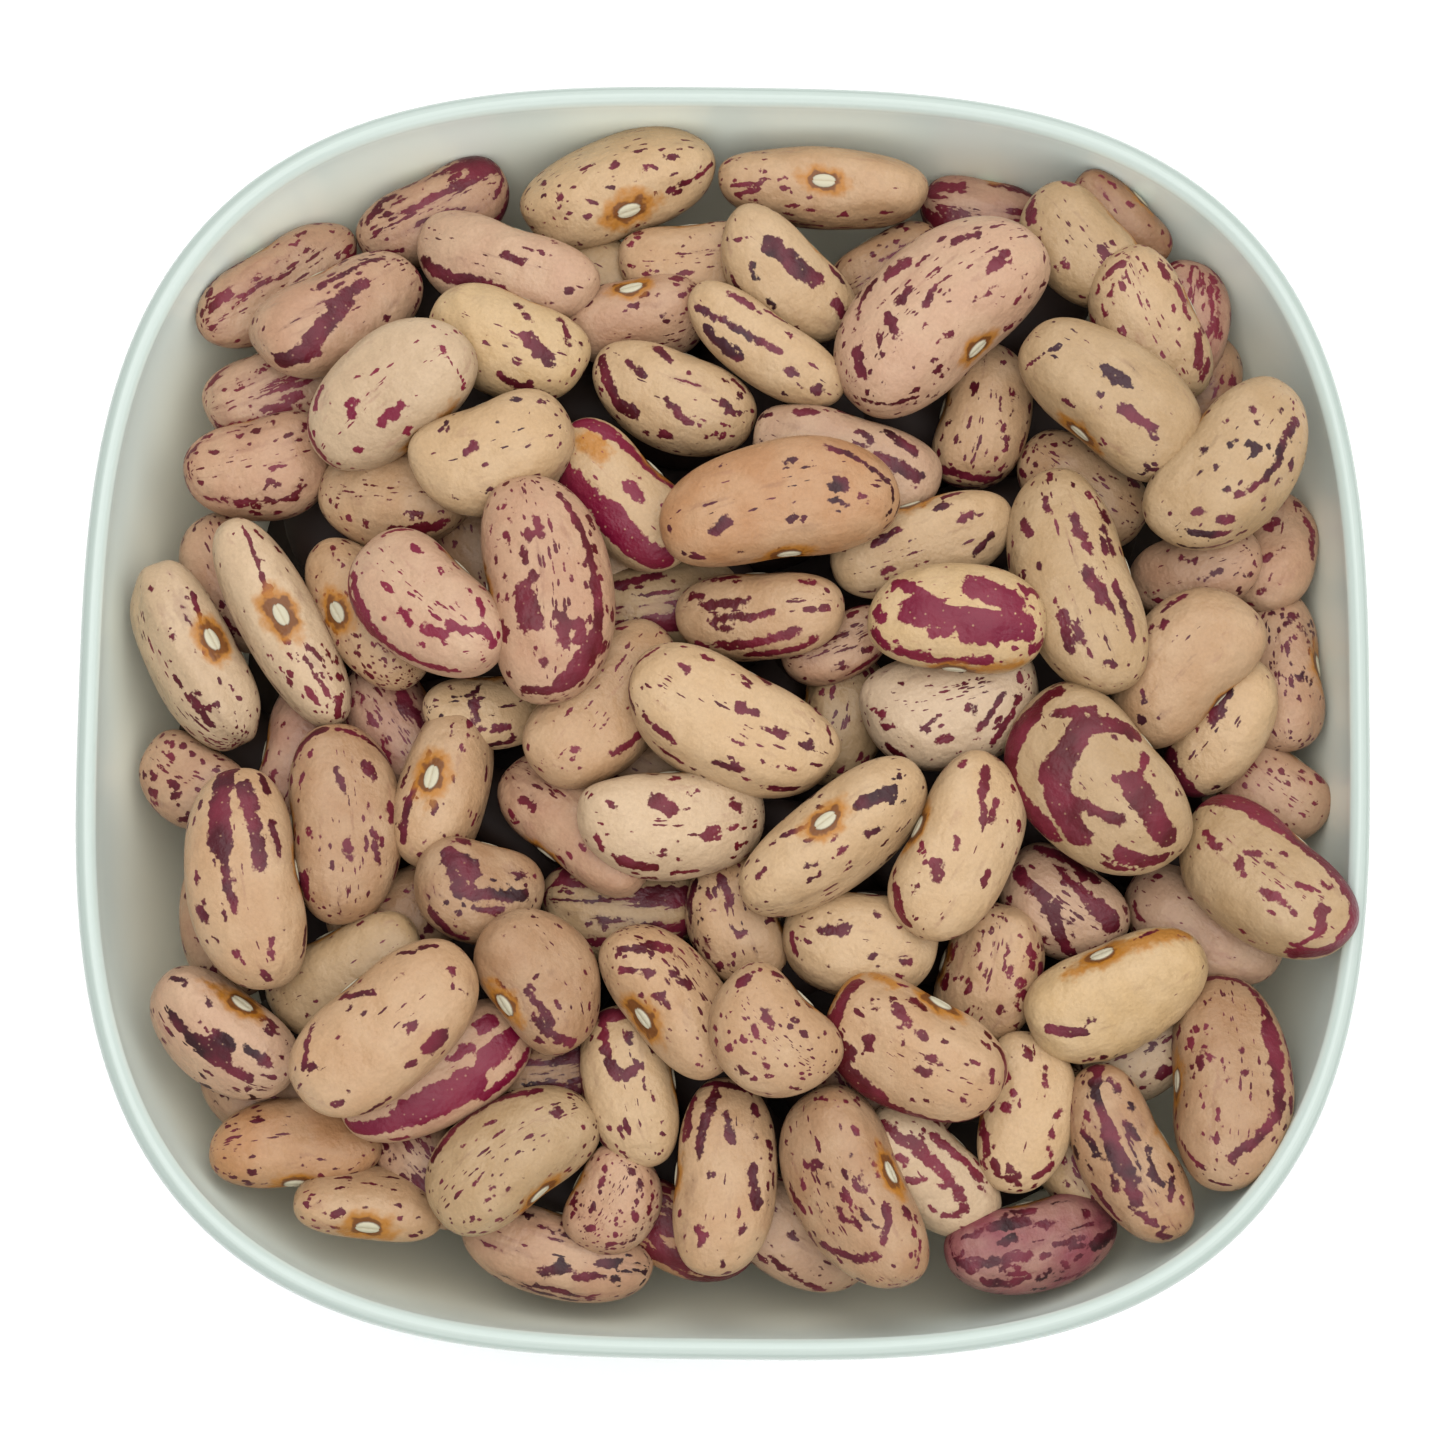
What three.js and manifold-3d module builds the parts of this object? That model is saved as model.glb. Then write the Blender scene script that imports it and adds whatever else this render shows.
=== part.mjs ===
// A small rounded-square porcelain bowl, heaped just over its rim with speckled beans.
// Millimetres, +Z up. The origin is under the middle of the foot, and the rim's flats face X and Y.
// Two pieces: the bowl, and the heap, whose beans are fused to the packed beans under them.

import * as THREE from "three";
import { mergeVertices } from "three/addons/utils/BufferGeometryUtils.js";
import Module from "manifold-3d";

// The bowl.
const RIM_WIDTH = 100;
const RIM_HEIGHT = 42;
const SQUARENESS = 3.07; // power of the rounded-square plan, where 2 would be a circle
const LIP_THICKNESS = 1.6;
const LIP_SEGMENTS = 4;
const HOLLOW_DEPTH = 34.2; // from the lip's centre line to the floor
const SHELL_DEPTH = 38.8; // the same to where the outer wall would close under the floor
const WALL_FULLNESS_OUT = 3; // powers of the rounded wall section, outwards and downwards
const WALL_FULLNESS_DOWN = 1.75;
const WALL_SEGMENTS = 7;
const FOOT_RADIUS = 26;
const FOOT_RING_WIDTH = 3.4;
const FOOT_RECESS = 3;
const FOOT_TAPER = 0.7;
const BOWL_COLUMNS = 48;

// The packed beans under the ones that show, up to this low dome.
const CORE_TOP = -8; // from the rim
const CORE_FALL = 4; // from the middle to the wall
const CORE_FLATNESS = 4; // power of the fall
const CORE_COLUMNS = 32;
const CORE_RINGS = 4;

// The beans.
const BEAN_THICKNESS = 0.8; // of the width
const BEAN_BEND = 0.18; // how far the ends curve towards the hilum side, of half the width
const BEAN_BEND_MIDDLE = 0.35; // share of the bend that moves the middle away from the hilum side
const BEAN_BLUNTNESS = 2.35; // power of the rounded outline, where 2 would be an ellipse
// Facets on a bean that lies deep and on one that lies in plain view, and how much larger each is
// made so that its flat facets hold the round bean's volume.
const DEEP_FACETS = { detail: 1, allowance: 1.1 }; // 32
const PLAIN_FACETS = { detail: 2, allowance: 1.05 }; // 72

// Each layer of beans rises over the last, and the heap is highest in the middle.
const HEAP_TOP = 4; // centres of the top layer in the middle of the bowl, from the rim
const HEAP_FALL = 5.5; // from the middle to the wall
const HEAP_FLATNESS = 3; // power of the fall
const HEAP_REACH = 46; // plan radius where the fall is complete
const LAYER_RISE = 3.1;
const LAYER_PLAY = 2.2; // how far below its layer a bean may drop
const BEAN_SQUEEZE = 0.94; // beans settle as if this much smaller, so that they touch
const SETTLE_TILTS = [-16, -8, 0, 8, 16]; // degrees that a bean may lean or roll as it settles
const TILT_COST = 0.03; // millimetres of height that a degree of tilt must save
const WALL_COST = 2; // weight on being pushed up by the wall
const COST_MARGIN = 1e-9; // keeps the first of two equal tilts
const SETTLE_STEP = 0.5;
const SETTLE_CELLS = 211;

const GAP = 0.3; // between the heap and the bowl
const ROOM_ABOVE = 30;

// Every bean that shows, as x, y, length, width, turn, roll and lean, with angles in degrees.
// Turn is in plan from +X. Roll turns the hilum up from the left side, and lean raises the +X end.
const DEEPEST_BEANS = [
  [-38.8, 11.2, 12, 7.4, -60],
  [-25.4, -0.8, 12, 7.4, -55],
  [-33, -3.2, 12, 7.2, 80],
  [-25.2, -15.4, 11.5, 7.2, 20],
  [-38.5, -15.4, 13, 7.4, -86],
  [-35, -29.8, 12, 7, -30],
  [-22.5, -34.6, 12, 7.2, -50],
  [-12.6, -27.4, 12, 7.2, 10],
  [-2.8, -39.4, 12, 6.8, -22],
  [5.8, -39.6, 13, 7, -30],
  [12.6, -28.4, 12, 7.4, -35],
  [27.6, -32.6, 12, 7.2, -70],
  [-7.6, -14.8, 13, 8, 0],
  [-6, -3.6, 12, 7.2, -20],
  [-5.4, 9.2, 13, 7.2, 8],
  [-9.4, 13.6, 9.6, 6.4, 70],
  [-19.4, 13.4, 12, 7.2, -70],
  [9, 0.4, 11, 6.8, 80],
  [-8.8, 35.6, 12, 7.6, -20],
  [12.6, 37, 10.4, 6.8, 30],
  [20.3, 42.2, 10, 6.4, -10],
  [36.6, 27.2, 11.5, 7.2, 60],
  [32.8, -25.2, 10.8, 7, 30],
];
const LOW_BEANS = [
  [-36, 35.2, 15.2, 7, 39],
  [-23.8, 41.4, 12.8, 7.2, 29],
  [-35.6, 26.6, 12.6, 7.8, 25],
  [-36.9, 19.9, 12, 8.3, 14],
  [-25.9, 17.1, 12.4, 8, -5],
  [-41.8, -4.8, 9.2, 6.8, -30, 0, 20],
  [-27.8, 7.6, 14.2, 8.2, 120, 55],
  [-21.7, -6, 13.6, 8.4, 77, 78],
  [-29, -20.6, 13, 7.6, 27],
  [-32.7, -33.6, 13.2, 6.8, 183, 10],
  [-27, -38.2, 11.4, 6.2, 176, 45],
  [-12.4, -41.4, 15.2, 6.8, -14],
  [-6.8, -29, 12.8, 7.4, -78],
  [-8.2, -37.6, 8.6, 7, 60],
  [-11.1, -8.8, 15, 7.8, 137, 5],
  [1.2, -16.2, 10.4, 7.4, -75],
  [16.2, -35.2, 12.6, 7.2, -42],
  [24.3, -40.3, 14.1, 6.9, 14],
  [23.4, -30.4, 12.6, 7.5, 84],
  [26.6, -14.2, 10.6, 7.8, -35],
  [37.6, -15.7, 13, 7.2, -30],
  [43.2, -4.7, 9.4, 7.4, -35],
  [43.6, 4.7, 13.6, 7.4, -88, 20],
  [43.3, 14.4, 10.2, 6.6, 72],
  [37, 12.2, 10.6, 7, 15],
  [28.2, 19, 11.4, 7.4, -35],
  [36, 32.2, 11.2, 7.2, 75],
  [30.8, 40.6, 9.6, 5.6, -42],
  [8.7, 5.4, 9, 5.4, 22],
  [-7.4, 31.8, 11.6, 7.2, 10, 50],
  [-3, 36.6, 11.6, 7.4, 5],
  [20, 24.8, 12, 7.6, 80],
  [-18.3, 0, 10.6, 5.8, 8],
  [20.7, -19.8, 11.2, 7.8, 74],
];
const MIDDLE_BEANS = [
  [-30.7, 31.8, 14.8, 8.1, 33],
  [-17.6, 35.7, 15.8, 7.6, -22],
  [-17.2, 28.9, 13, 8.2, -22],
  [-9, 43.1, 16.2, 9.2, 200, 46],
  [7.4, 43.3, 17, 8, 177, 85],
  [4.4, 35, 13, 7.1, -42],
  [2.8, 28.9, 14.4, 6.1, -36],
  [-4.4, 25.1, 13.6, 7.7, -23],
  [9.2, 19.9, 15, 8.2, -15],
  [-8.1, 16.7, 13.8, 7.8, -46],
  [27.8, 38, 11.2, 7.8, -48],
  [33.3, 31.5, 13.4, 8.1, -62],
  [-41.6, 4.4, 16, 8.3, -61, 58],
  [-34.5, 6.8, 18.4, 7.8, -60, 88],
  [-29.3, -9, 15.6, 9, 95, 6],
  [-18.8, -14.4, 10, 8, -12],
  [-38.3, -25.4, 13, 8.1, -37, 42],
  [-21.8, -28.4, 16, 7.8, 31],
  [-13.7, -21.4, 11.6, 8.6, 120, 30],
  [-15.8, -34.6, 14.4, 8.7, 217, 12],
  [-3.8, -22.7, 13.8, 8, 128, 36],
  [0.4, -36, 15.1, 7.8, 86],
  [10.4, -37, 16.7, 9.1, -65, 36],
  [-3.9, -9, 14.8, 8.5, 5, 6],
  [-9.3, 0.2, 15.8, 8.5, 54],
  [17.5, 0.8, 14, 9.3, 14],
  [10.7, -17.8, 11.8, 8.3, -8],
  [38.8, -0.4, 12, 7.1, 57],
  [35.7, 4, 13.8, 9.2, 228, 4],
  [31.5, -33.8, 15, 6.9, -63],
  [39.2, -28.2, 17.4, 9.3, 90, 5],
  [30.5, -21.6, 14.9, 8.5, 25, 38],
  [15.3, 13.3, 14.8, 7.2, 20],
  [2.5, 7.4, 13.3, 7, 2],
];
const TOP_BEANS = [
  [-18.2, 19.5, 12.8, 8.8, 17],
  [-26.2, 24.3, 14.8, 9, 38],
  [16.4, 31.8, 19.6, 11.2, 222, 20],
  [4, 15.4, 18.5, 9.5, 192, 4],
  [-13.9, 8.6, 17.8, 9.7, -82],
  [29.8, 25, 16.1, 9.1, 142, 8],
  [39.1, 19.6, 15.8, 9.2, 52],
  [27.2, 10.1, 18.7, 9.1, -73],
  [-22.8, 7.1, 14.3, 8.7, -40],
  [-36.5, -13.8, 17.5, 9, -80],
  [-25.4, -25.5, 16.4, 9.3, 41],
  [4, -25.5, 10.7, 8.7, -42],
  [14.9, -26.4, 14.6, 9, -28, 20],
  [8.5, -10.5, 17, 8.7, 37, 72],
  [18.1, -10.9, 15.2, 8.4, 67, 20],
  [28.9, -5.8, 16.3, 11, -48, 8],
  [17.9, 6.6, 13.7, 8.7, -4],
  [0.5, -1.5, 17.2, 9.5, -24],
  [42, -12.8, 16, 9.1, -42],
];
const LAYERS = [
  { rows: DEEPEST_BEANS, facets: DEEP_FACETS },
  { rows: LOW_BEANS, facets: DEEP_FACETS },
  { rows: MIDDLE_BEANS, facets: PLAIN_FACETS },
  { rows: TOP_BEANS, facets: PLAIN_FACETS },
];

const LIP_RADIUS = LIP_THICKNESS / 2;
const LIP_LEVEL = RIM_HEIGHT - LIP_RADIUS;
const OUTER_RADIUS = RIM_WIDTH / 2;
const INNER_RADIUS = OUTER_RADIUS - LIP_THICKNESS;

const wasm = await Module();
wasm.setup();

// Plan radius of a point: the half-width of the rounded square that passes through it.
function planRadius(x, y) {
  return (Math.abs(x) ** SQUARENESS + Math.abs(y) ** SQUARENESS) ** (1 / SQUARENESS);
}

// Height of the inner wall over a point of the plan, from the rim.
function wallHeight(x, y) {
  const out = Math.min(1, planRadius(x, y) / INNER_RADIUS) ** WALL_FULLNESS_OUT;
  return -LIP_RADIUS - HOLLOW_DEPTH * (1 - out) ** (1 / WALL_FULLNESS_DOWN);
}

// Height of the packed beans' dome over a plan radius, from the rim.
function coreHeight(radius) {
  return CORE_TOP - CORE_FALL * (radius / HEAP_REACH) ** CORE_FLATNESS;
}

// Highest centre that a bean of a layer may take, from the rim.
function layerHeight(x, y, layer) {
  const fall = HEAP_FALL * (planRadius(x, y) / HEAP_REACH) ** HEAP_FLATNESS;
  return HEAP_TOP - fall + (layer - LAYERS.length + 1) * LAYER_RISE;
}

// Points of a wall section from its edge at the lip down to the given share of its sweep.
function wallSection(radius, depth, sweep) {
  const points = [];
  for (let i = 0; i <= WALL_SEGMENTS; i += 1) {
    const angle = (Math.PI / 2) * (1 - (sweep * i) / WALL_SEGMENTS);
    const out = radius * Math.sin(angle) ** (2 / WALL_FULLNESS_OUT);
    const down = depth * Math.max(0, Math.cos(angle)) ** (2 / WALL_FULLNESS_DOWN);
    points.push(new THREE.Vector2(out, LIP_LEVEL - down));
  }
  return points;
}

// Turns a profile about Z, then pushes each circle out to the rounded square of the same half-width.
function squareLathe(profile, columns) {
  const geometry = new THREE.LatheGeometry(profile, columns);
  geometry.rotateX(Math.PI / 2);
  const position = geometry.attributes.position;
  for (let i = 0; i < position.count; i += 1) {
    const x = position.getX(i);
    const y = position.getY(i);
    const radius = Math.hypot(x, y);
    const scale = radius > 0 ? radius / planRadius(x, y) : 1;
    position.setXY(i, x * scale, y * scale);
  }
  return geometry;
}

// Makes a solid of a closed geometry, leaving out the collapsed triangles at a lathe's axis.
function solidOf(geometry) {
  const bare = geometry.clone();
  bare.deleteAttribute("normal");
  bare.deleteAttribute("uv");
  const merged = mergeVertices(bare);
  const triangles = [];
  for (let i = 0; i < merged.index.count; i += 3) {
    const [a, b, c] = merged.index.array.slice(i, i + 3);
    if (a !== b && b !== c && c !== a) {
      triangles.push(a, b, c);
    }
  }
  const mesh = new wasm.Mesh({
    numProp: 3,
    vertProperties: Float32Array.from(merged.attributes.position.array),
    triVerts: Uint32Array.from(triangles),
  });
  return new wasm.Manifold(mesh);
}

// Turns a solid back into a geometry.
function geometryOf(solid) {
  const mesh = solid.getMesh();
  const geometry = new THREE.BufferGeometry();
  geometry.setAttribute("position", new THREE.BufferAttribute(mesh.vertProperties, 3));
  geometry.setIndex(new THREE.BufferAttribute(mesh.triVerts, 1));
  geometry.computeVertexNormals();
  return geometry;
}

function bowlSolid() {
  const lip = [];
  for (let i = 1; i < LIP_SEGMENTS; i += 1) {
    const angle = (Math.PI * i) / LIP_SEGMENTS;
    const out = OUTER_RADIUS - LIP_RADIUS + LIP_RADIUS * Math.cos(angle);
    lip.push(new THREE.Vector2(out, LIP_LEVEL + LIP_RADIUS * Math.sin(angle)));
  }
  const footShare = ((FOOT_RADIUS + FOOT_TAPER) / OUTER_RADIUS) ** (WALL_FULLNESS_OUT / 2);
  const footSweep = 1 - (2 / Math.PI) * Math.asin(footShare);
  const ringInside = FOOT_RADIUS - FOOT_RING_WIDTH;
  const profile = [
    new THREE.Vector2(0, FOOT_RECESS),
    new THREE.Vector2(ringInside - FOOT_TAPER, FOOT_RECESS),
    new THREE.Vector2(ringInside, 0),
    new THREE.Vector2(FOOT_RADIUS, 0),
    ...wallSection(OUTER_RADIUS, SHELL_DEPTH, footSweep).reverse(),
    ...lip,
    ...wallSection(INNER_RADIUS, HOLLOW_DEPTH, 1),
  ];
  return solidOf(squareLathe(profile, BOWL_COLUMNS));
}

// The space that the heap may fill: the hollow less the gap, and everything above the rim.
function roomSolid() {
  const level = RIM_HEIGHT + GAP;
  const top = RIM_HEIGHT + ROOM_ABOVE;
  const profile = [
    ...wallSection(INNER_RADIUS - GAP, HOLLOW_DEPTH - GAP, 1).reverse(),
    new THREE.Vector2(INNER_RADIUS - GAP, level),
    new THREE.Vector2(OUTER_RADIUS, level),
    new THREE.Vector2(OUTER_RADIUS, top),
    new THREE.Vector2(0, top),
  ];
  return solidOf(squareLathe(profile, BOWL_COLUMNS));
}

// The packed beans under the ones that show, before the wall trims them.
function coreSolid() {
  const profile = [new THREE.Vector2(0, 0), new THREE.Vector2(OUTER_RADIUS, 0)];
  for (let i = CORE_RINGS; i >= 0; i -= 1) {
    const radius = (OUTER_RADIUS * i) / CORE_RINGS;
    profile.push(new THREE.Vector2(radius, RIM_HEIGHT + coreHeight(radius)));
  }
  return solidOf(squareLathe(profile, CORE_COLUMNS));
}

function turned(turn, roll, lean) {
  const matrix = new THREE.Matrix4().makeRotationZ(THREE.MathUtils.degToRad(turn));
  matrix.multiply(new THREE.Matrix4().makeRotationY(THREE.MathUtils.degToRad(-lean)));
  matrix.multiply(new THREE.Matrix4().makeRotationX(THREE.MathUtils.degToRad(roll)));
  return matrix;
}

// Lowest and highest heights of a turned ellipsoid over the plan offsets dx and dy.
function ellipsoidSpan(matrix, half) {
  const e = matrix.elements;
  const form = (row, column) =>
    half.reduce((sum, size, axis) => sum + (e[4 * axis + row] * e[4 * axis + column]) / size ** 2, 0);
  const [xx, xy, yy] = [form(0, 0), form(0, 1), form(1, 1)];
  const [xz, yz, zz] = [form(0, 2), form(1, 2), form(2, 2)];
  return (dx, dy) => {
    const linear = xz * dx + yz * dy;
    const rest = xx * dx * dx + 2 * xy * dx * dy + yy * dy * dy - 1;
    const inside = linear * linear - zz * rest;
    if (inside <= 0) {
      return null;
    }
    const root = Math.sqrt(inside);
    return [(-linear - root) / zz, (-linear + root) / zz];
  };
}

// Grid over the bowl that holds the height of the wall and of what has settled so far.
class Ground {
  constructor() {
    this.wall = new Float64Array(SETTLE_CELLS ** 2);
    this.top = new Float64Array(SETTLE_CELLS ** 2);
    this.eachCell(0, 0, Infinity, (cell, dx, dy) => {
      this.wall[cell] = wallHeight(dx, dy);
      this.top[cell] = Math.max(this.wall[cell], coreHeight(planRadius(dx, dy)));
    });
  }

  eachCell(x, y, reach, visit) {
    const middle = (SETTLE_CELLS - 1) / 2;
    const first = (v) => Math.max(0, Math.ceil((v - reach) / SETTLE_STEP + middle));
    const last = (v) => Math.min(SETTLE_CELLS - 1, Math.floor((v + reach) / SETTLE_STEP + middle));
    for (let i = first(x); i <= last(x); i += 1) {
      for (let j = first(y); j <= last(y); j += 1) {
        visit(i * SETTLE_CELLS + j, (i - middle) * SETTLE_STEP - x, (j - middle) * SETTLE_STEP - y);
      }
    }
  }

  // Tries the tilts that a bean may take and keeps the one that lets it lie lowest.
  settle(row, layer) {
    const [x, y, length, width, turn, roll = 0, lean = 0] = row;
    const half = [length, width, width * BEAN_THICKNESS].map((size) => (size / 2) * BEAN_SQUEEZE);
    const highest = layerHeight(x, y, layer);
    const lowest = highest - LAYER_PLAY;
    let best = null;
    for (const extraLean of SETTLE_TILTS) {
      for (const extraRoll of SETTLE_TILTS) {
        const matrix = turned(turn, roll + extraRoll, lean + extraLean);
        const span = ellipsoidSpan(matrix, half);
        let onBeans = -Infinity;
        let onWall = -Infinity;
        this.eachCell(x, y, half[0], (cell, dx, dy) => {
          const reach = span(dx, dy);
          if (reach) {
            onBeans = Math.max(onBeans, this.top[cell] - reach[0]);
            onWall = Math.max(onWall, this.wall[cell] - reach[0]);
          }
        });
        const tilt = Math.abs(extraLean) + Math.abs(extraRoll);
        const pushed = Math.max(0, onWall - highest);
        const cost = Math.max(onBeans, lowest) + TILT_COST * tilt + WALL_COST * pushed;
        if (!best || cost < best.cost - COST_MARGIN) {
          const z = Math.max(onWall, Math.min(Math.max(onBeans, lowest), highest));
          best = { cost, z, matrix, span };
        }
      }
    }
    this.eachCell(x, y, half[0], (cell, dx, dy) => {
      const reach = best.span(dx, dy);
      if (reach) {
        this.top[cell] = Math.max(this.top[cell], best.z + reach[1]);
      }
    });
    return best.matrix.setPosition(x, y, RIM_HEIGHT + best.z);
  }
}

// A kidney-shaped bean along X, with its hilum side to +Y and its broad faces to +Z and -Z.
function beanSolid(length, width, facets, placed) {
  const geometry = new THREE.OctahedronGeometry(1, facets.detail);
  const position = geometry.attributes.position;
  const half = [length, width, width * BEAN_THICKNESS].map((size) => (size / 2) * facets.allowance);
  const point = new THREE.Vector3();
  for (let i = 0; i < position.count; i += 1) {
    point.fromBufferAttribute(position, i);
    const blunt = point.toArray().reduce((sum, v) => sum + Math.abs(v) ** BEAN_BLUNTNESS, 0);
    point.divideScalar(blunt ** (1 / BEAN_BLUNTNESS));
    const bend = BEAN_BEND * (point.x * point.x - BEAN_BEND_MIDDLE);
    point.set(point.x * half[0], (point.y + bend) * half[1], point.z * half[2]);
    position.setXYZ(i, point.x, point.y, point.z);
  }
  return solidOf(geometry.applyMatrix4(placed));
}

function heapSolid() {
  const ground = new Ground();
  let heap = coreSolid();
  LAYERS.forEach(({ rows, facets }, layer) => {
    for (const row of rows) {
      const [, , length, width] = row;
      heap = heap.add(beanSolid(length, width, facets, ground.settle(row, layer)));
    }
  });
  const pieces = heap.intersect(roomSolid()).decompose();
  return pieces.reduce((largest, piece) => (piece.volume() > largest.volume() ? piece : largest));
}

function part(name, solid, colour, roughness) {
  const material = new THREE.MeshStandardMaterial({ color: colour, roughness, metalness: 0 });
  const mesh = new THREE.Mesh(geometryOf(solid), material);
  mesh.name = name;
  return mesh;
}

const bowlOfBeans = new THREE.Group();
bowlOfBeans.add(part("bowl", bowlSolid(), 0xdfe8e2, 0.25));
bowlOfBeans.add(part("beans", heapSolid(), 0xcfae86, 0.5));

export default bowlOfBeans;
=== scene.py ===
"""Looks of a small rounded-square porcelain bowl, heaped with dried speckled beans.

The functions work in millimetres, and a mesh turns to metres when it is made. Every random draw comes
from a seeded generator, so the script gives the same heap each time.
"""

import logging
import math
from collections.abc import Callable
from dataclasses import dataclass
from enum import Enum

import bpy
import numpy as np
from mathutils import Matrix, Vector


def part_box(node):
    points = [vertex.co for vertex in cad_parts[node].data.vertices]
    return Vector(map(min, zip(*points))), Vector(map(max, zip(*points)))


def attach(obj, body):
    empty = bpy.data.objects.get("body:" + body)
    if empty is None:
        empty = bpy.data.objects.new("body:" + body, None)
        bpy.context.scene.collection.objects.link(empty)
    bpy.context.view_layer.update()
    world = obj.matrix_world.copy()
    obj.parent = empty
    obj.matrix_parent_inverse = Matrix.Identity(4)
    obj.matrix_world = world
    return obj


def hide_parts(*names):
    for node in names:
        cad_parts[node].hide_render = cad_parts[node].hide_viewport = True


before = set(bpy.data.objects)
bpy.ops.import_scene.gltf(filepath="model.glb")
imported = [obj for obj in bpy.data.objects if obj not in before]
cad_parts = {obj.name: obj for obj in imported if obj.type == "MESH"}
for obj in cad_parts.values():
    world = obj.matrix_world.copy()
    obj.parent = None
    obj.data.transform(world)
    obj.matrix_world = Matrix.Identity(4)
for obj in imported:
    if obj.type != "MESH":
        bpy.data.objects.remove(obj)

LOG = logging.getLogger("bowl_of_beans")
MM = 0.001
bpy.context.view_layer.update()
QUARTER_GIRTH = 0.79  # of an ellipse, as a share of its half sizes' sum: close to pi / 4
BENDS = (0.1, 0.24)  # least and largest bend of a bean
TAPERS = (-0.07, 0.07)  # fullest at one end and at the other
SHARE, UNDER, OVER = 0, 6, 7  # a colour mix's inputs, whose names the node has more than once
Place = tuple[np.ndarray, np.ndarray]  # a bean's rotation, and the place of its middle
Node = bpy.types.Node
Socket = bpy.types.NodeSocket
Add = Callable[..., Node]


def linear(hex_colour: str) -> tuple[float, float, float, float]:
    """Turns an sRGB hex colour to the linear colour that a shader socket takes.

    Args:
        hex_colour: Six hex digits after a hash.

    Returns:
        Linear red, green and blue, and an alpha of 1.
    """
    channels = [int(hex_colour[i:i + 2], 16) / 255 for i in (1, 3, 5)]
    lit = [c / 12.92 if c <= 0.04045 else ((c + 0.055) / 1.055) ** 2.4 for c in channels]
    return (*lit, 1.0)


class Finish:
    """A node material while it is put together."""

    def __init__(self, name: str) -> None:
        """Starts an empty material, named for the real one."""
        self.material = bpy.data.materials.new(name)
        self.material.use_nodes = True
        self.tree = self.material.node_tree
        self.tree.nodes.clear()

    def add(self, kind: str, inputs: dict | None = None, **settings) -> Node:
        """Adds a node, sets its properties, and links or sets its inputs.

        Args:
            kind: The node's type name after "ShaderNode".
            inputs: Input name or index to an output socket that feeds it, to a node whose first output in
                use feeds it, to a hex colour, or to a plain value.
            **settings: Property names and values of the node itself.

        Returns:
            The new node.
        """
        node = self.tree.nodes.new("ShaderNode" + kind)
        for name, value in settings.items():
            setattr(node, name, value)
        for key, value in (inputs or {}).items():
            if isinstance(value, Node):
                value = next(output for output in value.outputs if output.enabled)
            if isinstance(value, Socket):
                self.tree.links.new(value, node.inputs[key])
            else:
                node.inputs[key].default_value = linear(value) if isinstance(value, str) else value
        return node


def make_piece(
    name: str,
    points: np.ndarray,
    faces: list[np.ndarray],
    material: bpy.types.Material,
    attributes: dict[str, np.ndarray] | None = None,
) -> bpy.types.Object:
    """Makes a smooth-shaded mesh object at the origin.

    Args:
        name: The piece's name.
        points: One row of x, y and z for each vertex, in millimetres.
        faces: Arrays of vertex numbers, one row for each face, each array with its own number of sides.
        material: The piece's finish.
        attributes: Attribute name to one row for each vertex, of 3 numbers for a vector or 4 for a colour.

    Returns:
        The new object, linked to the scene.
    """
    mesh = bpy.data.meshes.new(name)
    mesh.vertices.add(len(points))
    mesh.vertices.foreach_set("co", (points * MM).astype(np.float32).ravel())
    corners = np.concatenate([f.ravel() for f in faces])
    sides = np.concatenate([np.full(len(f), f.shape[1]) for f in faces])
    mesh.loops.add(len(corners))
    mesh.loops.foreach_set("vertex_index", corners.astype(np.int32))
    mesh.polygons.add(len(sides))
    mesh.polygons.foreach_set("loop_start", np.concatenate([[0], np.cumsum(sides)[:-1]]).astype(np.int32))
    mesh.polygons.foreach_set("loop_total", sides.astype(np.int32))
    mesh.polygons.foreach_set("use_smooth", np.ones(len(sides), bool))
    for key, values in (attributes or {}).items():
        kind, slot = ("FLOAT_VECTOR", "vector") if values.shape[1] == 3 else ("FLOAT_COLOR", "color")
        layer = mesh.attributes.new(key, kind, "POINT")
        layer.data.foreach_set(slot, values.astype(np.float32).ravel())
    mesh.update()
    mesh.validate()
    mesh.materials.append(material)
    piece = bpy.data.objects.new(name, mesh)
    bpy.context.scene.collection.objects.link(piece)
    return piece


def ring_quads(rings: int, columns: int) -> np.ndarray:
    """Four-sided faces between rings of points, each ring closed round its axis."""
    column = np.arange(columns)
    ahead = (column + 1) % columns
    start = np.arange(rings - 1)[:, None] * columns
    corners = [start + column, start + ahead, start + columns + ahead, start + columns + column]
    return np.stack(corners, -1).reshape(-1, 4)


def copies(faces: np.ndarray, points: int, count: int) -> np.ndarray:
    """Faces of several shapes alike, each with its own block of points."""
    return np.concatenate([faces + k * points for k in range(count)])


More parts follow.
